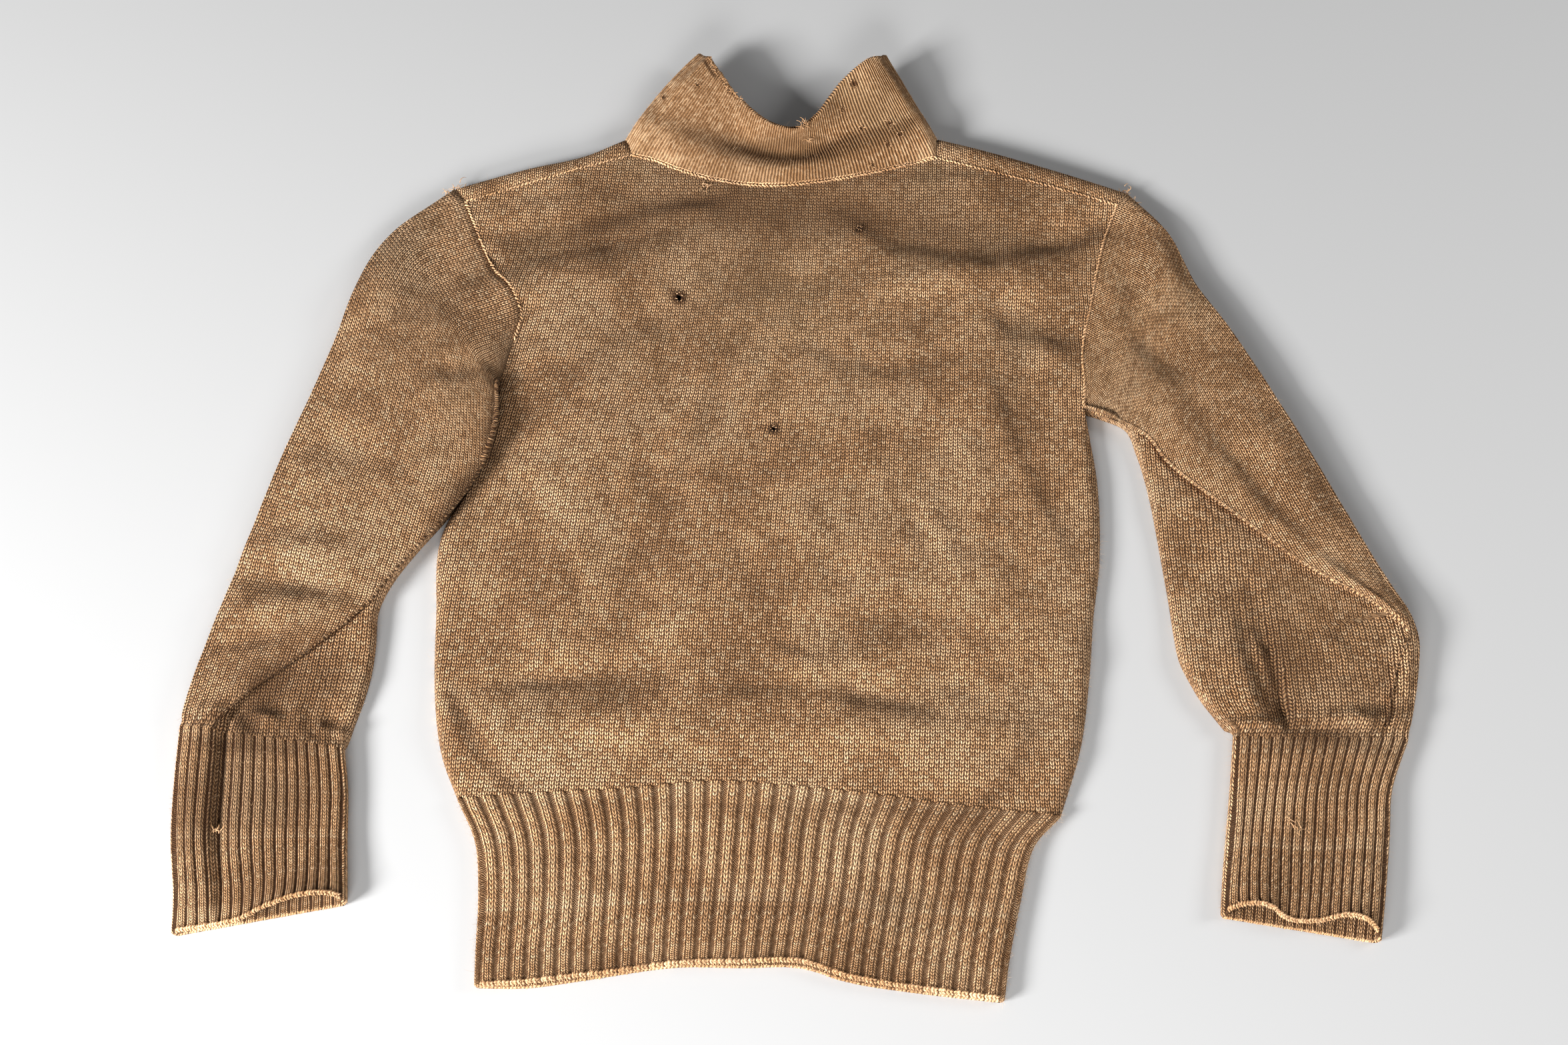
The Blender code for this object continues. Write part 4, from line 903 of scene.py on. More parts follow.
def cloth_tree(made):
    """Search tree of all the cloth."""
    points, faces = [], []
    for piece in made:
        start = len(points)
        points += [v.co.copy() for v in piece.data.vertices]
        faces += [[start + k for k in p.vertices] for p in piece.data.polygons]
    return BVHTree.FromPolygons(points, faces)


def on_cloth(tree, x, y):
    """Point of the topmost cloth under a place of the plan, in metres."""
    hit = tree.ray_cast(Vector((x - CENTRE[0], y - CENTRE[1], RAY_START)), Vector((0, 0, -1)))[0]
    return x, y, hit.z if hit else 0.0


def offset_line(plan, off):
    """The plan line moved sideways, to its left."""
    ahead = unit(np.gradient(plan, axis=0))
    return plan + off * np.stack([-ahead[:, 1], ahead[:, 0]], axis=1)


def even_line(line, pitch):
    """Centres and directions of stitches that follow a line at an even pitch."""
    travel = travelled(line)
    at = np.arange(pitch / 2, travel[-1], pitch)
    middle = np.stack([np.interp(at, travel, line[:, k]) for k in range(3)], axis=1)
    return middle, unit(np.gradient(middle, axis=0))


def stitch_row(line, pitch, length, radius, slant, seed):
    """A row of plump slanted stitches on a line of the cloth."""
    middle, ahead = even_line(line, pitch)
    random = np.random.default_rng(seed)
    middle = middle + random.normal(0, 0.00012, middle.shape)
    angle = np.radians(slant) + random.normal(0, 0.20, len(middle))
    sideways = unit(np.cross((0, 0, 1.0), ahead))
    axis = ahead * np.cos(angle)[:, None] + sideways * np.sin(angle)[:, None]
    reach = np.array([-0.5, -0.3, 0.0, 0.3, 0.5])
    rise = np.array([-0.9, 0.1, 0.45, 0.1, -0.9]) * radius
    long = length * random.uniform(0.8, 1.2, len(middle))
    paths = middle[:, None] + axis[:, None] * (reach[None, :, None] * long[:, None, None])
    paths[..., 2] += rise
    thick = np.array([0.45, 0.95, 1.0, 0.95, 0.45]) * radius * random.uniform(0.75, 1.15, (len(middle), 1))
    return tubes(paths, thick, 6)


def seam_line(tree, table, off=0.0):
    """A line of the plan laid on the cloth, with its height evened out over eleven points."""
    line = np.array([on_cloth(tree, *p) for p in offset_line(along(table, np.linspace(0, 1, 200))[:, :2], off)])
    line[:, 2] = np.convolve(np.pad(line[:, 2], 5, mode="edge"), np.ones(11) / 11, mode="valid")
    return line


def torn_loops(random, spots, length, radius, spread, lift=0.0006):
    """Loose yarn ends that curl up from spots of the cloth: x, y, z, heading, unevenness of the heading."""
    steps = 7
    paths = []
    for x, y, z, way, near in spots:
        start = np.array([x, y, z]) + np.append(random.normal(0, spread, 2), 0)
        long = length * random.uniform(0.5, 1.3)
        heading = way + random.normal(0, near)
        turn = random.normal(0, 1.6)
        climb = random.uniform(0.15, 0.9)
        at = [start]
        for k in range(steps - 1):
            part = k / (steps - 2)
            angle = heading + turn * part
            rise = climb * (1 - 1.6 * part)
            at.append(at[-1] + np.array([np.cos(angle), np.sin(angle), rise]) * long / (steps - 1))
        paths.append(at)
    paths = np.array(paths)
    paths[..., 2] = np.maximum(paths[..., 2] + lift, radius)
    taper = np.interp(np.linspace(0, 1, steps), [0, 0.6, 1], [1, 0.8, 0.3])
    return tubes(paths, radius * taper * random.uniform(0.7, 1.2, (len(paths), 1)), 5)


def fibre_batch(tree, piece, count, length, radius, edge_share):
    """Stray fibres of one piece: most lie on the cloth, the rest stand off its edges."""
    random = np.random.default_rng(count)
    mesh = piece.data
    faces = len(mesh.polygons)
    area, normal, centre = np.empty(faces), np.empty(faces * 3), np.empty(faces * 3)
    mesh.polygons.foreach_get("area", area)
    mesh.polygons.foreach_get("normal", normal)
    mesh.polygons.foreach_get("center", centre)
    normal, centre = normal.reshape(-1, 3), centre.reshape(-1, 3)
    flank = (np.abs(normal[:, 2]) < STEEP) & (centre[:, 2] > 0.001)
    on_edges = int(count * edge_share)
    open_faces = []
    for wanted, chance in ((on_edges, area * flank), (count - on_edges, area * (normal[:, 2] > 0.5))):
        picked = random.choice(faces, size=wanted * 3, p=chance / chance.sum())
        found = 0
        for k in picked:
            if found == wanted:
                break
            if tree.ray_cast(Vector(centre[k] + normal[k] * 0.0004), Vector(normal[k]), 0.03)[0] is None:
                open_faces.append(k)
                found += 1
    roots, ways = centre[open_faces], normal[open_faces]
    edges = np.abs(ways[:, 2]) < STEEP
    n = len(roots)
    drift = unit(random.normal(0, 1, (n, 3)))
    drift -= ways * (drift * ways).sum(axis=1)[:, None]
    out = np.where(edges, random.uniform(0.3, 1.0, n), random.uniform(0.10, 0.55, n))[:, None]
    first = unit(drift * (1 - 0.5 * out) + ways * out)
    curl = unit(random.normal(0, 1, (n, 3)))
    long = (length * random.gamma(3.0, 0.33, n))[:, None]
    steps = np.array([0, 0.34, 0.67, 1.0])
    paths = roots[:, None] + first[:, None] * (steps[None, :, None] * long[:, None])
    paths += curl[:, None] * (steps[None, :, None] ** 2 * long[:, None] * random.uniform(0.1, 0.5, (n, 1, 1)))
    paths += CENTRE
    paths[..., 2] = np.maximum(paths[..., 2], 0.0002)
    thick = radius * np.array([1.0, 0.85, 0.6, 0.25]) * random.uniform(0.6, 1.2, (n, 1))
    return tubes(paths, thick, 3)


# Shader helpers and the groups that the wool materials share.
def wire(tree, value, socket):
    """Feeds a socket with a number, a colour or another socket."""
    if isinstance(value, bpy.types.NodeSocket):
        tree.links.new(value, socket)
    elif value is not None:
        socket.default_value = value


def calc(tree, operation, *values):
    node = tree.nodes.new("ShaderNodeMath")
    node.operation = operation
    for value, socket in zip(values, node.inputs):
        wire(tree, value, socket)
    return node.outputs[0]


def maths(tree, *operations):
    """A short function for each of the named math nodes of one shader tree."""
    return [lambda *values, kind=kind: calc(tree, kind, *values) for kind in operations]


def blend_colour(tree, amount, first, second):
    node = tree.nodes.new("ShaderNodeMix")
    node.data_type = "RGBA"
    for value, socket in zip((amount, first, second), [s for s in node.inputs if s.enabled]):
        wire(tree, value, socket)
    return next(s for s in node.outputs if s.enabled)


def ramp(tree, value, low, high, from_low=0.0, from_high=1.0):
    node = tree.nodes.new("ShaderNodeMapRange")
    node.interpolation_type = "SMOOTHSTEP"
    for v, socket in zip((value, from_low, from_high, low, high), node.inputs):
        wire(tree, v, socket)
    return node.outputs[0]


def lumps(tree, scale, detail=2.0, roughness=0.5):
    """Cloudy noise through the wool."""
    node = tree.nodes.new("ShaderNodeTexNoise")
    wire(tree, tree.nodes.new("ShaderNodeTexCoord").outputs["Object"], node.inputs["Vector"])
    node.inputs["Scale"].default_value = scale
    node.inputs["Detail"].default_value = detail
    node.inputs["Roughness"].default_value = roughness
    return node.outputs["Fac"]


def new_group(name, takes, gives):
    """An empty shader group: takes are (name, kind, value) rows, gives are (name, kind) rows."""
    group = bpy.data.node_groups.new(name, "ShaderNodeTree")
    for label, kind, value in takes:
        socket = group.interface.new_socket(label, in_out="INPUT", socket_type="NodeSocket" + kind)
        if value is not None:
            socket.default_value = value
    for label, kind in gives:
        group.interface.new_socket(label, in_out="OUTPUT", socket_type="NodeSocket" + kind)
    return group, group.nodes.new("NodeGroupInput").outputs, group.nodes.new("NodeGroupOutput").inputs


def stitch_start(name, *takes):
    """A group for one kind of stitches, with the wale and the course it reads, and its math nodes."""
    group, given, result = new_group(name, [("Place", "Vector", None), *takes],
                                     [("Height", "Float"), ("Groove", "Float"), ("Loop", "Float")])
    split = group.nodes.new("ShaderNodeSeparateXYZ")
    wire(group, given["Place"], split.inputs[0])
    tools = maths(group, "ADD", "SUBTRACT", "MULTIPLY", "DIVIDE", "ABSOLUTE", "FRACT", "SINE")
    return group, given, result, split.outputs["X"], split.outputs["Y"], tools


def stitch_end(group, result, height, groove, wale, course):
    """Gives out the height, the painted shade of the grooves between two heights, and a tone of its own for each
    loop.
    """
    wire(group, height, result["Height"])
    wire(group, ramp(group, height, 1.0, 0.0, *groove), result["Groove"])
    place = group.nodes.new("ShaderNodeCombineXYZ")
    wire(group, calc(group, "FLOOR", wale), place.inputs[0])
    wire(group, calc(group, "FLOOR", course), place.inputs[1])
    noise = group.nodes.new("ShaderNodeTexWhiteNoise")
    noise.noise_dimensions = "2D"
    wire(group, place.outputs[0], noise.inputs["Vector"])
    wire(group, noise.outputs["Value"], result["Loop"])
    return group


def loop_leg(group, course):
    """Swell of a loop's leg along its course."""
    swell = calc(group, "SINE", calc(group, "MULTIPLY", calc(group, "FRACT", course), math.pi))
    return calc(group, "POWER", calc(group, "MAXIMUM", swell, 0.0), 0.8)


def loop_body(group, away, room):
    """Roundness of a loop across its wale."""
    off = calc(group, "DIVIDE", calc(group, "ABSOLUTE", calc(group, "SUBTRACT", away, 0.47)), room)
    return calc(group, "SUBTRACT", 1.0, calc(group, "POWER", calc(group, "MINIMUM", off, 1.0), 2.4))


def stitch_group():
    """Plain knit: columns of V-shaped loops that point to the hem."""
    group, given, result, wale, course, tools = stitch_start("knit_stitches")
    add, subtract, multiply, divide, size, fract, sine = tools
    away = multiply(size(subtract(fract(wale), 0.5)), 2.0)
    rise = subtract(course, multiply(away, 0.74))
    leg = loop_leg(group, rise)
    room = subtract(0.51, multiply(subtract(1.0, leg), 0.24))
    height = multiply(loop_body(group, away, room), add(0.30, multiply(leg, 0.70)))
    return stitch_end(group, result, height, (0.16, 0.88), wale, rise)


def rib_group():
    """Knit of a ribbed band: two raised wales, then two sunken ones seen from their purl side."""
    group, given, result, wale, course, tools = stitch_start(
        "rib_stitches", ("Raised", "Float", 0.56), ("Purl", "Float", 0.30))
    add, subtract, multiply, divide, size, fract, sine = tools
    centred = subtract(fract(multiply(wale, 0.25)), 0.5)
    raised_wale = add(divide(multiply(centred, 2.0), given["Raised"]), 1.5)
    away = multiply(size(subtract(fract(raised_wale), 0.5)), 2.0)
    rise = subtract(course, multiply(away, 0.8))
    knit = multiply(loop_body(group, away, 0.53), add(0.32, multiply(loop_leg(group, rise), 0.68)))
    furrow = ramp(group, subtract(size(centred), multiply(given["Raised"], 0.5)), 0.0, 1.0, -0.03, 0.04)
    beads = multiply(wale, 3.0)
    row = add(multiply(course, 2.0), multiply(calc(group, "FLOOR", beads), 0.5))
    bead = multiply(sine(multiply(row, 2 * math.pi)), size(sine(multiply(beads, math.pi))))
    purl = add(given["Purl"], multiply(bead, 0.2))
    height = add(multiply(knit, subtract(1.0, furrow)), multiply(purl, furrow))
    return stitch_end(group, result, height, (0.14, 0.84), raised_wale, rise)


def fine_rib_group():
    """Knit of the collar: one narrow raised wale between thin furrows."""
    group, given, result, wale, course, tools = stitch_start("fine_rib_stitches")
    add, subtract, multiply, divide, size, fract, sine = tools
    rib = add(0.5, multiply(calc(group, "COSINE", multiply(wale, 2 * math.pi)), 0.5))
    away = multiply(size(subtract(0.5, fract(wale))), 2.0)
    rise = add(course, multiply(away, 0.8))
    leg = sine(multiply(fract(rise), math.pi))
    height = multiply(rib, add(0.7, multiply(leg, 0.3)))
    return stitch_end(group, result, height, (0.0, 0.5), wale, rise)


def wool_group():
    """Colour of old wool: tan yarn of mixed fibres, painted shade between the loops, in the creases, hollows and
    pits, rubbed pale.
    """
    group, given, result = new_group(
        "wool_colour",
        [("Groove", "Float", 0.0), ("Depth", "Float", 0.8), ("Tan", "Color", WOOL_TAN),
         ("Shade_Colour", "Color", (0.055, 0.020, 0.006, 1)), ("Stain", "Float", 0.0), ("Rubbed", "Float", 0.0),
         ("Painted_Shade", "Float", 0.0), ("Loop", "Float", 0.5)],
        [("Colour", "Color"), ("Roughness", "Float"), ("Fibre", "Float")])
    patches = lumps(group, 13.0, 4.0, 0.6)
    clouds = lumps(group, 38.0, 4.0, 0.62)
    yarn = lumps(group, 380.0, 2.0, 0.6)
    fibre = lumps(group, 2200.0, 2.0, 0.7)
    colour = given["Tan"]
    # Each tint: what it follows, its amount at the low and the high end, the two ends, colour.
    for value, *ends, tint in ((patches, 0.0, 0.90, 0.45, 0.62, (1.0, 0.63, 0.345, 1)),
                               (clouds, 0.0, 0.85, 0.47, 0.68, (0.58, 0.33, 0.152, 1)),
                               (patches, 0.80, 0.0, 0.38, 0.54, (0.46, 0.24, 0.104, 1)),
                               (yarn, 0.0, 0.55, 0.46, 0.72, (1.0, 0.65, 0.37, 1)),
                               (yarn, 0.60, 0.0, 0.28, 0.48, (0.34, 0.165, 0.065, 1)),
                               (fibre, 0.0, 0.40, 0.48, 0.8, (0.92, 0.61, 0.37, 1)),
                               (given["Loop"], 0.0, 0.65, 0.55, 1.0, (0.35, 0.170, 0.066, 1)),
                               (given["Loop"], 0.60, 0.0, 0.0, 0.30, (1.0, 0.69, 0.41, 1))):
        colour = blend_colour(group, ramp(group, value, *ends), colour, tint)
    # Rubbed pale wear, the painted shade of creases and hollows, and olive stain.
    for mark, tint in (("Rubbed", (0.66, 0.46, 0.25, 1)), ("Painted_Shade", (0.20, 0.105, 0.045, 1)),
                       ("Stain", (0.19, 0.135, 0.070, 1))):
        colour = blend_colour(group, given[mark], colour, tint)
    # Painted shade: the grooves between the loops are darkened, and pits and holes are painted near-black where the
    # painted shade goes above 1.
    shade = calc(group, "MULTIPLY", given["Groove"], given["Depth"])
    shade = calc(group, "MAXIMUM", shade, ramp(group, given["Painted_Shade"], 0.0, 0.97, 1.0, 1.8))
    wire(group, blend_colour(group, shade, colour, given["Shade_Colour"]), result["Colour"])
    wire(group, ramp(group, fibre, 0.86, 1.0), result["Roughness"])
    wire(group, fibre, result["Fibre"])
    return group


WOOL_TAN = (1.0, 0.555, 0.265, 1)
GROUPS = {"plain": stitch_group(), "rib": rib_group(), "fine": fine_rib_group(), "wool": wool_group()}


def place_group(tree, key, **values):
    node = tree.nodes.new("ShaderNodeGroup")
    node.node_tree = GROUPS[key]
    for label, value in values.items():
        wire(tree, value, node.inputs[label])
    return node.outputs


def new_material(name):
    made = bpy.data.materials.new(name)
    made.use_nodes = True
    return made, made.node_tree, made.node_tree.nodes["Principled BSDF"]


def add_bump(tree, shader, height, distance, strength=1.0):
    bump = tree.nodes.new("ShaderNodeBump")
    bump.inputs["Strength"].default_value = strength
    bump.inputs["Distance"].default_value = distance
    wire(tree, height, bump.inputs["Height"])
    wire(tree, bump.outputs[0], shader.inputs["Normal"])


def wool_material(name, stitch, depth=0.95, relief_depth=0.0028, tan=WOOL_TAN, **stitch_values):
    """Old wool knit: the stitches of one kind, in the shared wool colour with its painted shade."""
    made, tree, shader = new_material(name)
    add, subtract, multiply = maths(tree, "ADD", "SUBTRACT", "MULTIPLY")
    fabric = tree.nodes.new("ShaderNodeUVMap")
    fabric.uv_map = "knit"
    drift = tree.nodes.new("ShaderNodeCombineXYZ")
    for k, (scale, reach) in enumerate(((160.0, 0.45), (210.0, 0.7))):
        wire(tree, multiply(subtract(lumps(tree, scale, 1.0), 0.5), reach), drift.inputs[k])
    wobble = tree.nodes.new("ShaderNodeVectorMath")
    wobble.operation = "ADD"
    wire(tree, fabric.outputs[0], wobble.inputs[0])
    wire(tree, drift.outputs[0], wobble.inputs[1])
    stitches = place_group(tree, stitch, Place=wobble.outputs[0], **stitch_values)
    marks = {}
    for label in ("Stain", "Rubbed", "Painted_Shade"):
        node = tree.nodes.new("ShaderNodeAttribute")
        node.attribute_name = label.lower()
        marks[label] = node.outputs["Fac"]
    wool = place_group(tree, "wool", Groove=stitches["Groove"], Depth=depth, Tan=tan, Loop=stitches["Loop"], **marks)
    wire(tree, wool["Colour"], shader.inputs["Base Color"])
    wire(tree, wool["Roughness"], shader.inputs["Roughness"])
    add_bump(tree, shader, add(stitches["Height"], multiply(wool["Fibre"], 0.18)), relief_depth, 0.9)
    shader.inputs["Metallic"].default_value = 0.0
    shader.inputs["Specular IOR Level"].default_value = 0.15
    shader.inputs["Sheen Weight"].default_value = 0.03
    shader.inputs["Sheen Roughness"].default_value = 0.5
    return made


def yarn_material(name, tan, roughness, twist):
    """Loose yarn or fibre of the same wool, without stitches."""
    made, tree, shader = new_material(name)
    wool = place_group(tree, "wool", Depth=0.0, Tan=tan)
    wire(tree, wool["Colour"], shader.inputs["Base Color"])
    add_bump(tree, shader, wool["Fibre"], twist)
    shader.inputs["Roughness"].default_value = roughness
    shader.inputs["Specular IOR Level"].default_value = 0.2
    return made


# Stains: x, y, half width in millimetres, strength. They darken the wool towards olive.
STAINS = [
    (-345, 300, 26, 0.35), (-300, 262, 22, 0.30), (318, 262, 22, 0.30), (395, 120, 20, 0.20), (-220, 318, 20, 0.25),
    (160, 320, 22, 0.25), (60, -235, 26, 0.25), (-10, -190, 18, 0.15), (176, 235, 18, 0.30), (-400, 10, 18, 0.20),
    (160, 121, 3, 0.45), (-86, 370, 5, 0.6),
]
RUBBED = [
    (62, 440, 22, 0.45), (40, 462, 18, 0.4), (-20, 260, 60, 0.25), (341, -180, 5, 0.6), (-420, -182, 6, 0.5),
    (100, 380, 16, 0.3), (-150, 395, 14, 0.3),
]


# Painted shade along creases and hollows, under the collar, beside the left sleeve, at the joints of the hem and
# cuffs, and over the body's top and the forearms: x, y at both ends, half width in millimetres, strength.
PAINTED_SHADE_LINES = [
    (-110, 345, 20, 340, 24, 0.58), (20, 340, 150, 328, 20, 0.48), (-165, 345, -160, 245, 28, 0.20),
    (-268, 316, -197, 328, 10, 0.29), (-197, 328, -134, 347, 10, 0.29), (-134, 347, -60, 362, 10, 0.22),
    (30, 348, 74, 310, 12, 0.22), (74, 310, 155, 297, 12, 0.29), (155, 297, 262, 332, 10, 0.32),
    (160, 238, 221, 220, 12, 0.36), (-249, 238, -243, 186, 12, 0.36), (-214, 169, -244, 109, 10, 0.32),
    (-244, 109, -274, 61, 9, 0.36), (-194, 192, -130, 238, 16, 0.20), (-130, 238, -60, 261, 18, 0.20),
    (-69, 285, -16, 322, 16, 0.25), (-51, 238, -96, 103, 12, 0.18), (-96, 103, -135, 20, 12, 0.16),
    (145, 203, 174, 109, 12, 0.22), (174, 109, 206, 25, 10, 0.23), (2, 209, 62, 192, 14, 0.18),
    (62, 192, 115, 203, 14, 0.18), (-246, -77, -152, -67, 8, 0.29), (-72, -77, 8, -78, 8, 0.23),
    (8, -78, 86, -93, 8, 0.26), (-262, -78, -235, -125, 9, 0.29), (-235, -125, -201, -161, 9, 0.25),
    (169, -93, 147, -134, 9, 0.29), (147, -134, 118, -170, 9, 0.25), (-24, -35, -4, -45, 9, 0.22),
    (-245, 182, -249, 118, 5, 0.95), (-249, 118, -290, 48, 6, 0.70), (-112, 425, -62, 408, 10, 0.45),
    (-62, 408, 22, 406, 10, 0.85), (22, 406, 76, 424, 11, 0.75), (76, 424, 104, 446, 9, 0.35),
    (-400, -80, -409, -114, 9, 0.55), (-378, -52, -400, -76, 8, 0.45), (337, -44, 344, -108, 6, 0.45),
    (352, -112, 392, -112, 7, 0.40), (427, -44, 421, -80, 7, 0.30), (-425, -118, -424, -190, 4, 0.50),
    (310, -116, 425, -120, 6, 0.35), (-450, -116, -340, -124, 7, 0.35), (-240, -160, 170, -170, 4, 0.30),
    (-395, -50, -400, -110, 34, 0.50), (-435, -125, -425, -195, 30, 0.68), (-380, -130, -370, -190, 30, 0.62),
    (350, -50, 400, -100, 34, 0.40), (320, 40, 345, -80, 32, 0.42), (-352, -35, -350, -100, 24, 0.45),
    (-40, 447, 60, 447, 12, 0.34), (60, 455, 100, 500, 20, 0.34), (-180, 376, 160, 368, 30, 0.46),
    (-225, 325, -120, 335, 40, 0.36), (120, 325, 225, 315, 40, 0.26), (-70, -234, 60, -232, 11, 0.35),
    (90, -200, 130, -240, 10, 0.25), (-210, -200, -120, -206, 10, 0.20),
]


# Painted shade that a crease gets for each metre of its depth, the most of it, and the most painted shade of all.
CREASE_SHADE = 24
FINE_CREASE_SHADE = 45
MOST_CREASE_SHADE = 0.36
MOST_SHADE = 0.9


def fading_spot(x, y, at_x, at_y, width):
    """1 at a place given in millimetres, fading out over the width."""
    return np.exp(-(np.hypot(x - at_x / 1000, y - at_y / 1000) / (width / 1000)) ** 2)


def mark_wear_and_shade(piece):
    """Stain, rubbing and painted shade at every point of a piece. Painted shade above 1 is the near-black shade of a
    pit.
    """
    mesh = piece.data
    places = np.empty(len(mesh.vertices) * 3)
    mesh.vertices.foreach_get("co", places)
    x, y, z = (places.reshape(-1, 3) + CENTRE).T
    # Painted shade along the listed lines and in the creases of the upper layers.
    depth = relief(x, y, CREASES + SLEEVE_CREASES) * CREASE_SHADE + relief(x, y, FINE_CREASES) * FINE_CREASE_SHADE
    shade_paint = relief(x, y, PAINTED_SHADE_LINES) * 1000 + np.clip(-depth, 0, MOST_CREASE_SHADE) * (z > 0.006)
    pits = []
    if piece.name == "collar_rib":
        # Painted shade over the whole collar, deeper towards its right, and the painted shadow of its slit.
        shade_paint += 0.16 + 0.22 * share((x + 0.03) / 0.05)
        pits.append(relief(x, y, COLLAR_SLIT) * 1000)
    if piece.name in FURROW_SHADES:
        shade_paint[:len(FURROW_SHADES[piece.name])] += FURROW_SHADES[piece.name]
    shade_paint = np.clip(shade_paint, 0, MOST_SHADE)
    # Painted near-black shade in the holes, wider on the front panel seen through them, and in the moth-eaten spots.
    behind = 3.0 if piece.name == "front_panel_knit" else 0.8
    pits += [2.5 * fading_spot(x, y, px, py, behind * (a + b)) for px, py, a, b in HOLES]
    pits += [1.9 * fading_spot(x, y, px, py, 0.48 * width) for px, py, width in MOTH_SPOTS]
    stain, rubbed = (
        np.clip(sum(strength * fading_spot(x, y, px, py, width) for px, py, width, strength in spots), 0, 1)
        for spots in (STAINS, RUBBED))
    for label, values in (("stain", stain), ("rubbed", rubbed), ("painted_shade", np.max([shade_paint, *pits], axis=0))):
        layer = mesh.attributes.new(label, "FLOAT", "POINT")
        layer.data.foreach_set("value", values.astype(np.float32))


body_wool = wool_material("wool_plain_knit", "plain")
hem_wool = wool_material("wool_hem_rib", "rib", Raised=HEM_RAISED, Purl=0.31)
cuff_wool = wool_material("wool_cuff_rib", "rib", Raised=CUFF_RAISED, Purl=0.10)
collar_wool = wool_material("wool_collar_rib", "fine", depth=0.68, relief_depth=0.0009, tan=(0.47, 0.25, 0.112, 1))

cuff_left = ribbed_band("cuff_left_rib", LEFT_CUFF, CUFF_RIBS, LEFT_LIP, CUFF_RAISED, rolled=True)
cuff_right = ribbed_band("cuff_right_rib", RIGHT_CUFF, CUFF_RIBS, RIGHT_LIP, CUFF_RAISED)
sleeve_left = sleeve("sleeve_left_knit", LEFT_SLEEVE, LEFT_ARMHOLE, LEFT_OUTLINE[0], -1,
                     EDGE_LINES["cuff_left_rib_joint"], 99)
sleeve_right = sleeve("sleeve_right_knit", RIGHT_SLEEVE, RIGHT_ARMHOLE, RIGHT_OUTLINE[-1], 1,
                      EDGE_LINES["cuff_right_rib_joint"], 10.2)

# For each node of the solids: piece, finish, width and length of its cut, how it is held, what it rests on.
pieces = {
    "back_panel": (back_panel(), body_wool, (0.505, 0.560), "laid", ["front_panel_knit"]),
    "front_panel": (front_panel(), body_wool, (0.505, 0.560), "laid", ["floor"]),
    "sleeve_left": (sleeve_left, body_wool, (0.30, 0.46), "folded", ["floor"]),
    "sleeve_right": (sleeve_right, body_wool, (0.30, 0.46), "folded", ["floor"]),
    "cuff_left": (cuff_left, cuff_wool, (0.24, 0.130), "laid", ["floor"]),
    "cuff_right": (cuff_right, cuff_wool, (0.24, 0.130), "laid", ["floor"]),
    "hem_rib": (ribbed_band("hem_rib_knit", HEM_RIB, HEM_RIBS, HEM_LIP, HEM_RAISED, HEM_RIM, HEM_JOINT), hem_wool,
                (0.78, 0.130), "laid", ["floor"]),
    "collar": (collar(), collar_wool, (0.64, 0.12), "laid", ["front_panel_knit"]),
}

# Floor.
floor = add_object("floor", [(-4, -4, 0), (4, -4, 0), (4, 4, 0), (-4, 4, 0)], [(0, 1, 2, 3)], smooth=False)
floor_paint, _, floor_shader = new_material("floor_paint")
floor_shader.inputs["Base Color"].default_value = (0.52, 0.52, 0.52, 1)
floor_shader.inputs["Roughness"].default_value = 0.8
floor.data.materials.append(floor_paint)

for node_name, (piece, finish, flat, held, rests) in pieces.items():
    piece.data.materials.append(finish)
    mark_wear_and_shade(piece)
    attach(piece, "root")
    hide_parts(node_name)

yarn_wool = yarn_material("wool_yarn", (0.47, 0.28, 0.155, 1), 0.95, 0.0004)
fibre_wool = yarn_material("wool_fibre", (0.62, 0.47, 0.33, 1), 0.8, 0.0)
tree = cloth_tree([row[0] for row in pieces.values()])

inner_layer = collar_inner_layer()
inner_layer.data.materials.append(collar_wool)
mark_wear_and_shade(inner_layer)
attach(inner_layer, "root")

# Linked seams. Each row of stitches: line, sideways offset, pitch, length, thickness, slant, seed.
for name, rows in (
        ("neck_seam_linking", ((BACK_NECK, 0.0010, 0.0026, 0.0031, 0.00062, 32, 11),
                               (BACK_NECK, -0.0013, 0.0031, 0.0039, 0.00080, -28, 12))),
        ("armhole_seam_linking", ((LEFT_ARMHOLE[1:], 0.0006, 0.0033, 0.0040, 0.00075, 30, 13),
                                  (RIGHT_ARMHOLE, -0.0006, 0.0033, 0.0040, 0.00075, -30, 14))),
        ("shoulder_seam_linking", ((LEFT_SHOULDER, 0.0, 0.0034, 0.0042, 0.00070, 30, 15),
                                   (RIGHT_SHOULDER, 0.0, 0.0034, 0.0042, 0.00070, -30, 16)))):
    yarn_piece(name, [stitch_row(seam_line(tree, table, off), *row) for table, off, *row in rows], yarn_wool)

# Cast-off edge of the hem and the cuffs: two rows of small slanted stitches on the upper lip, one on the lower lip.
for name, ribs, radius in (("hem_rib_knit", HEM_RIBS, 0.00085), ("cuff_left_rib", CUFF_RIBS, 0.00080),
                           ("cuff_right_rib", CUFF_RIBS, 0.00080)):
    rows = []
    for key, back, up, slant in ((name, 0.0010, 0.0, 48), (name, -0.0004, -0.0009, -52),
                                 (name + "_under", -0.0002, 0.0018, 50)):
        line = EDGE_LINES[key] + (0, back, up)
        length = np.linalg.norm(np.diff(line, axis=0), axis=1).sum()
        rows.append(stitch_row(line, length / (ribs * 4), 0.0027, radius, slant, 17 + len(rows)))
    yarn_piece(name + "_edge", rows, yarn_wool)

# Torn loops: round the moth holes, on worn spots, along the torn collar edge, at the shoulder points and on rags.
random = np.random.default_rng(21)


def cloth_spot(x, y, heading, unevenness):
    """A spot of the cloth for a torn loop, from a place in millimetres."""
    return (*on_cloth(tree, x / 1000, y / 1000), heading, unevenness)


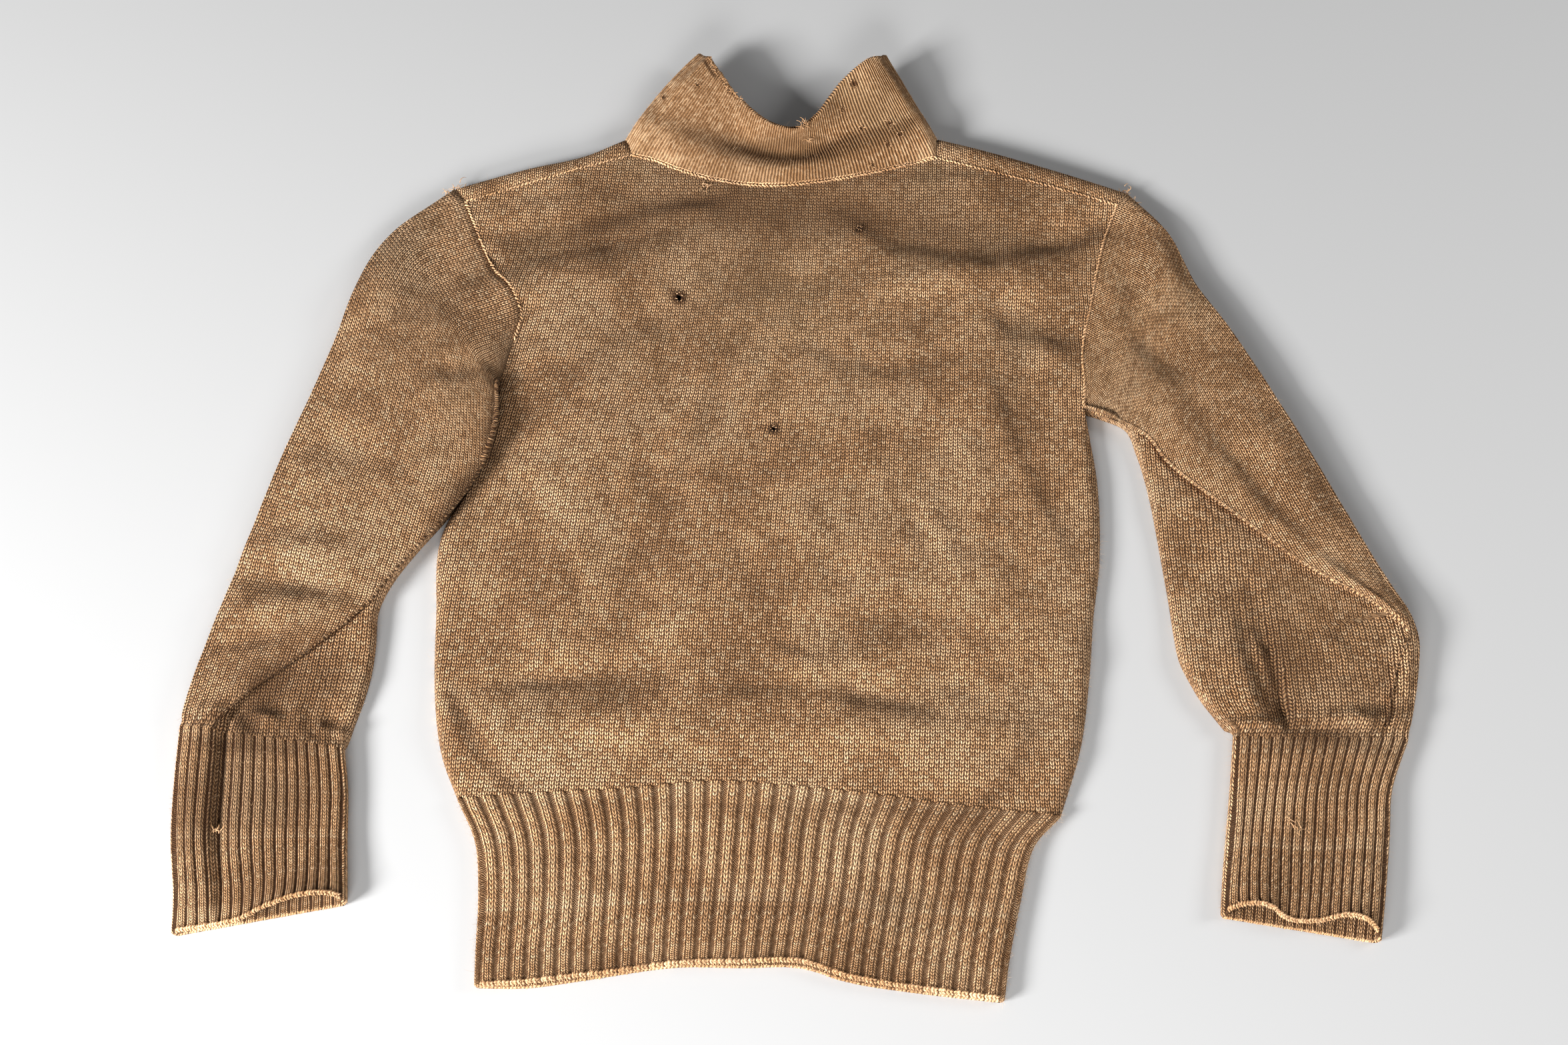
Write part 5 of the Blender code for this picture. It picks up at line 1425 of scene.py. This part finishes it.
hole_spots = [cloth_spot(x + 1.1 * a * np.cos(turn), y + 1.1 * b * np.sin(turn), turn + np.pi * 0.8, 0.7)
              for x, y, a, b in HOLES for turn in np.linspace(0.3, 2 * np.pi, 6, endpoint=False)]
hole_loops = torn_loops(random, hole_spots, 0.0016, 0.00034, 0.0003)
worn_spots = [cloth_spot(x + 0.4 * width * np.cos(turn), y + 0.4 * width * np.sin(turn), turn, 1.0)
              for x, y, width in MOTH_SPOTS for turn in random.uniform(0, 2 * np.pi, int(2 + width))]
worn_loops = torn_loops(random, worn_spots, 0.0024, 0.00032, 0.0007, lift=0.0002)
tear_spots = [(*p, 1.2, 0.8) for p in EDGE_LINES["collar"][6:90:2]]
tear_loops = torn_loops(random, tear_spots, 0.0034, 0.00032, 0.0006)
shoulder_spots = [(x / 1000, y / 1000, 0.006, way, 0.5)
                  for x, y, way in ((-297, 372, 2.3), (-293, 376, 1.9), (-302, 366, 2.6),
                                    (268, 369, 0.7), (264, 372, 1.1), (273, 362, 0.4)) for _ in range(7)]
shoulder_loops = torn_loops(random, shoulder_spots, 0.0060, 0.00030, 0.0025)
rag_spots = [cloth_spot(x, y, way, 0.7)
             for x, y, way, number in ((-2, 424, 1.8, 12), (2, 416, 1.2, 10), (-4, 430, 2.0, 10),
                                       (-420, -182, 1.0, 8), (341, -180, 2.0, 7), (-86, 371, 0.4, 8))
             for _ in range(number)]
rag_loops = torn_loops(random, rag_spots, 0.0065, 0.00036, 0.0022)
yarn_piece("torn_loops", [hole_loops, worn_loops, tear_loops, shoulder_loops, rag_loops], yarn_wool)

# Fuzz of each piece: number of fibres, length, thickness, share on the edges.
for node_name, *fibres in (
        ("back_panel", 4200, 0.0022, 0.000050, 0.10), ("front_panel", 500, 0.0026, 0.000055, 0.8),
        ("sleeve_left", 2000, 0.0024, 0.000055, 0.35), ("sleeve_right", 2000, 0.0024, 0.000055, 0.35),
        ("cuff_left", 900, 0.0022, 0.000055, 0.35), ("cuff_right", 900, 0.0022, 0.000055, 0.35),
        ("hem_rib", 2600, 0.0024, 0.000055, 0.30), ("collar", 2600, 0.0024, 0.000055, 0.35)):
    yarn_piece(node_name + "_fuzz", [fibre_batch(tree, pieces[node_name][0], *fibres)], fibre_wool)


def soft_light(name, place, size, power):
    """A soft lamp that faces the middle of the garment."""
    lamp = bpy.data.lights.new(name, "AREA")
    lamp.shape = "RECTANGLE"
    lamp.size, lamp.size_y = size
    lamp.energy = power
    holder = bpy.data.objects.new(name, lamp)
    bpy.context.scene.collection.objects.link(holder)
    holder.location = place
    x, y, z = place
    holder.rotation_euler = (math.acos(z / math.hypot(x, y, z)), 0, math.atan2(x, -y))


# Light and camera.
for lamp in (("light_left", (-2.4, -1.5, 1.20), (1.0, 0.7), 190), ("light_right", (2.2, 0.1, 1.20), (0.9, 0.7), 20),
             ("light_front", (-0.3, -2.3, 0.95), (1.2, 0.6), 58)):
    soft_light(*lamp)
world = bpy.data.worlds.new("studio")
bpy.context.scene.world = world
world.use_nodes = True
world.node_tree.nodes["Background"].inputs["Color"].default_value = (1, 1, 1, 1)
world.node_tree.nodes["Background"].inputs["Strength"].default_value = 0.16
bpy.context.scene.view_settings.view_transform = "Standard"

camera_data = bpy.data.cameras.new("camera")
camera_data.sensor_width = 36
camera_data.lens = 39.8
camera = bpy.data.objects.new("camera", camera_data)
bpy.context.scene.collection.objects.link(camera)
camera.location = (-0.01606, -0.6250, 1.1984)
camera.rotation_euler = (math.radians(26), 0, 0)
bpy.context.scene.camera = camera
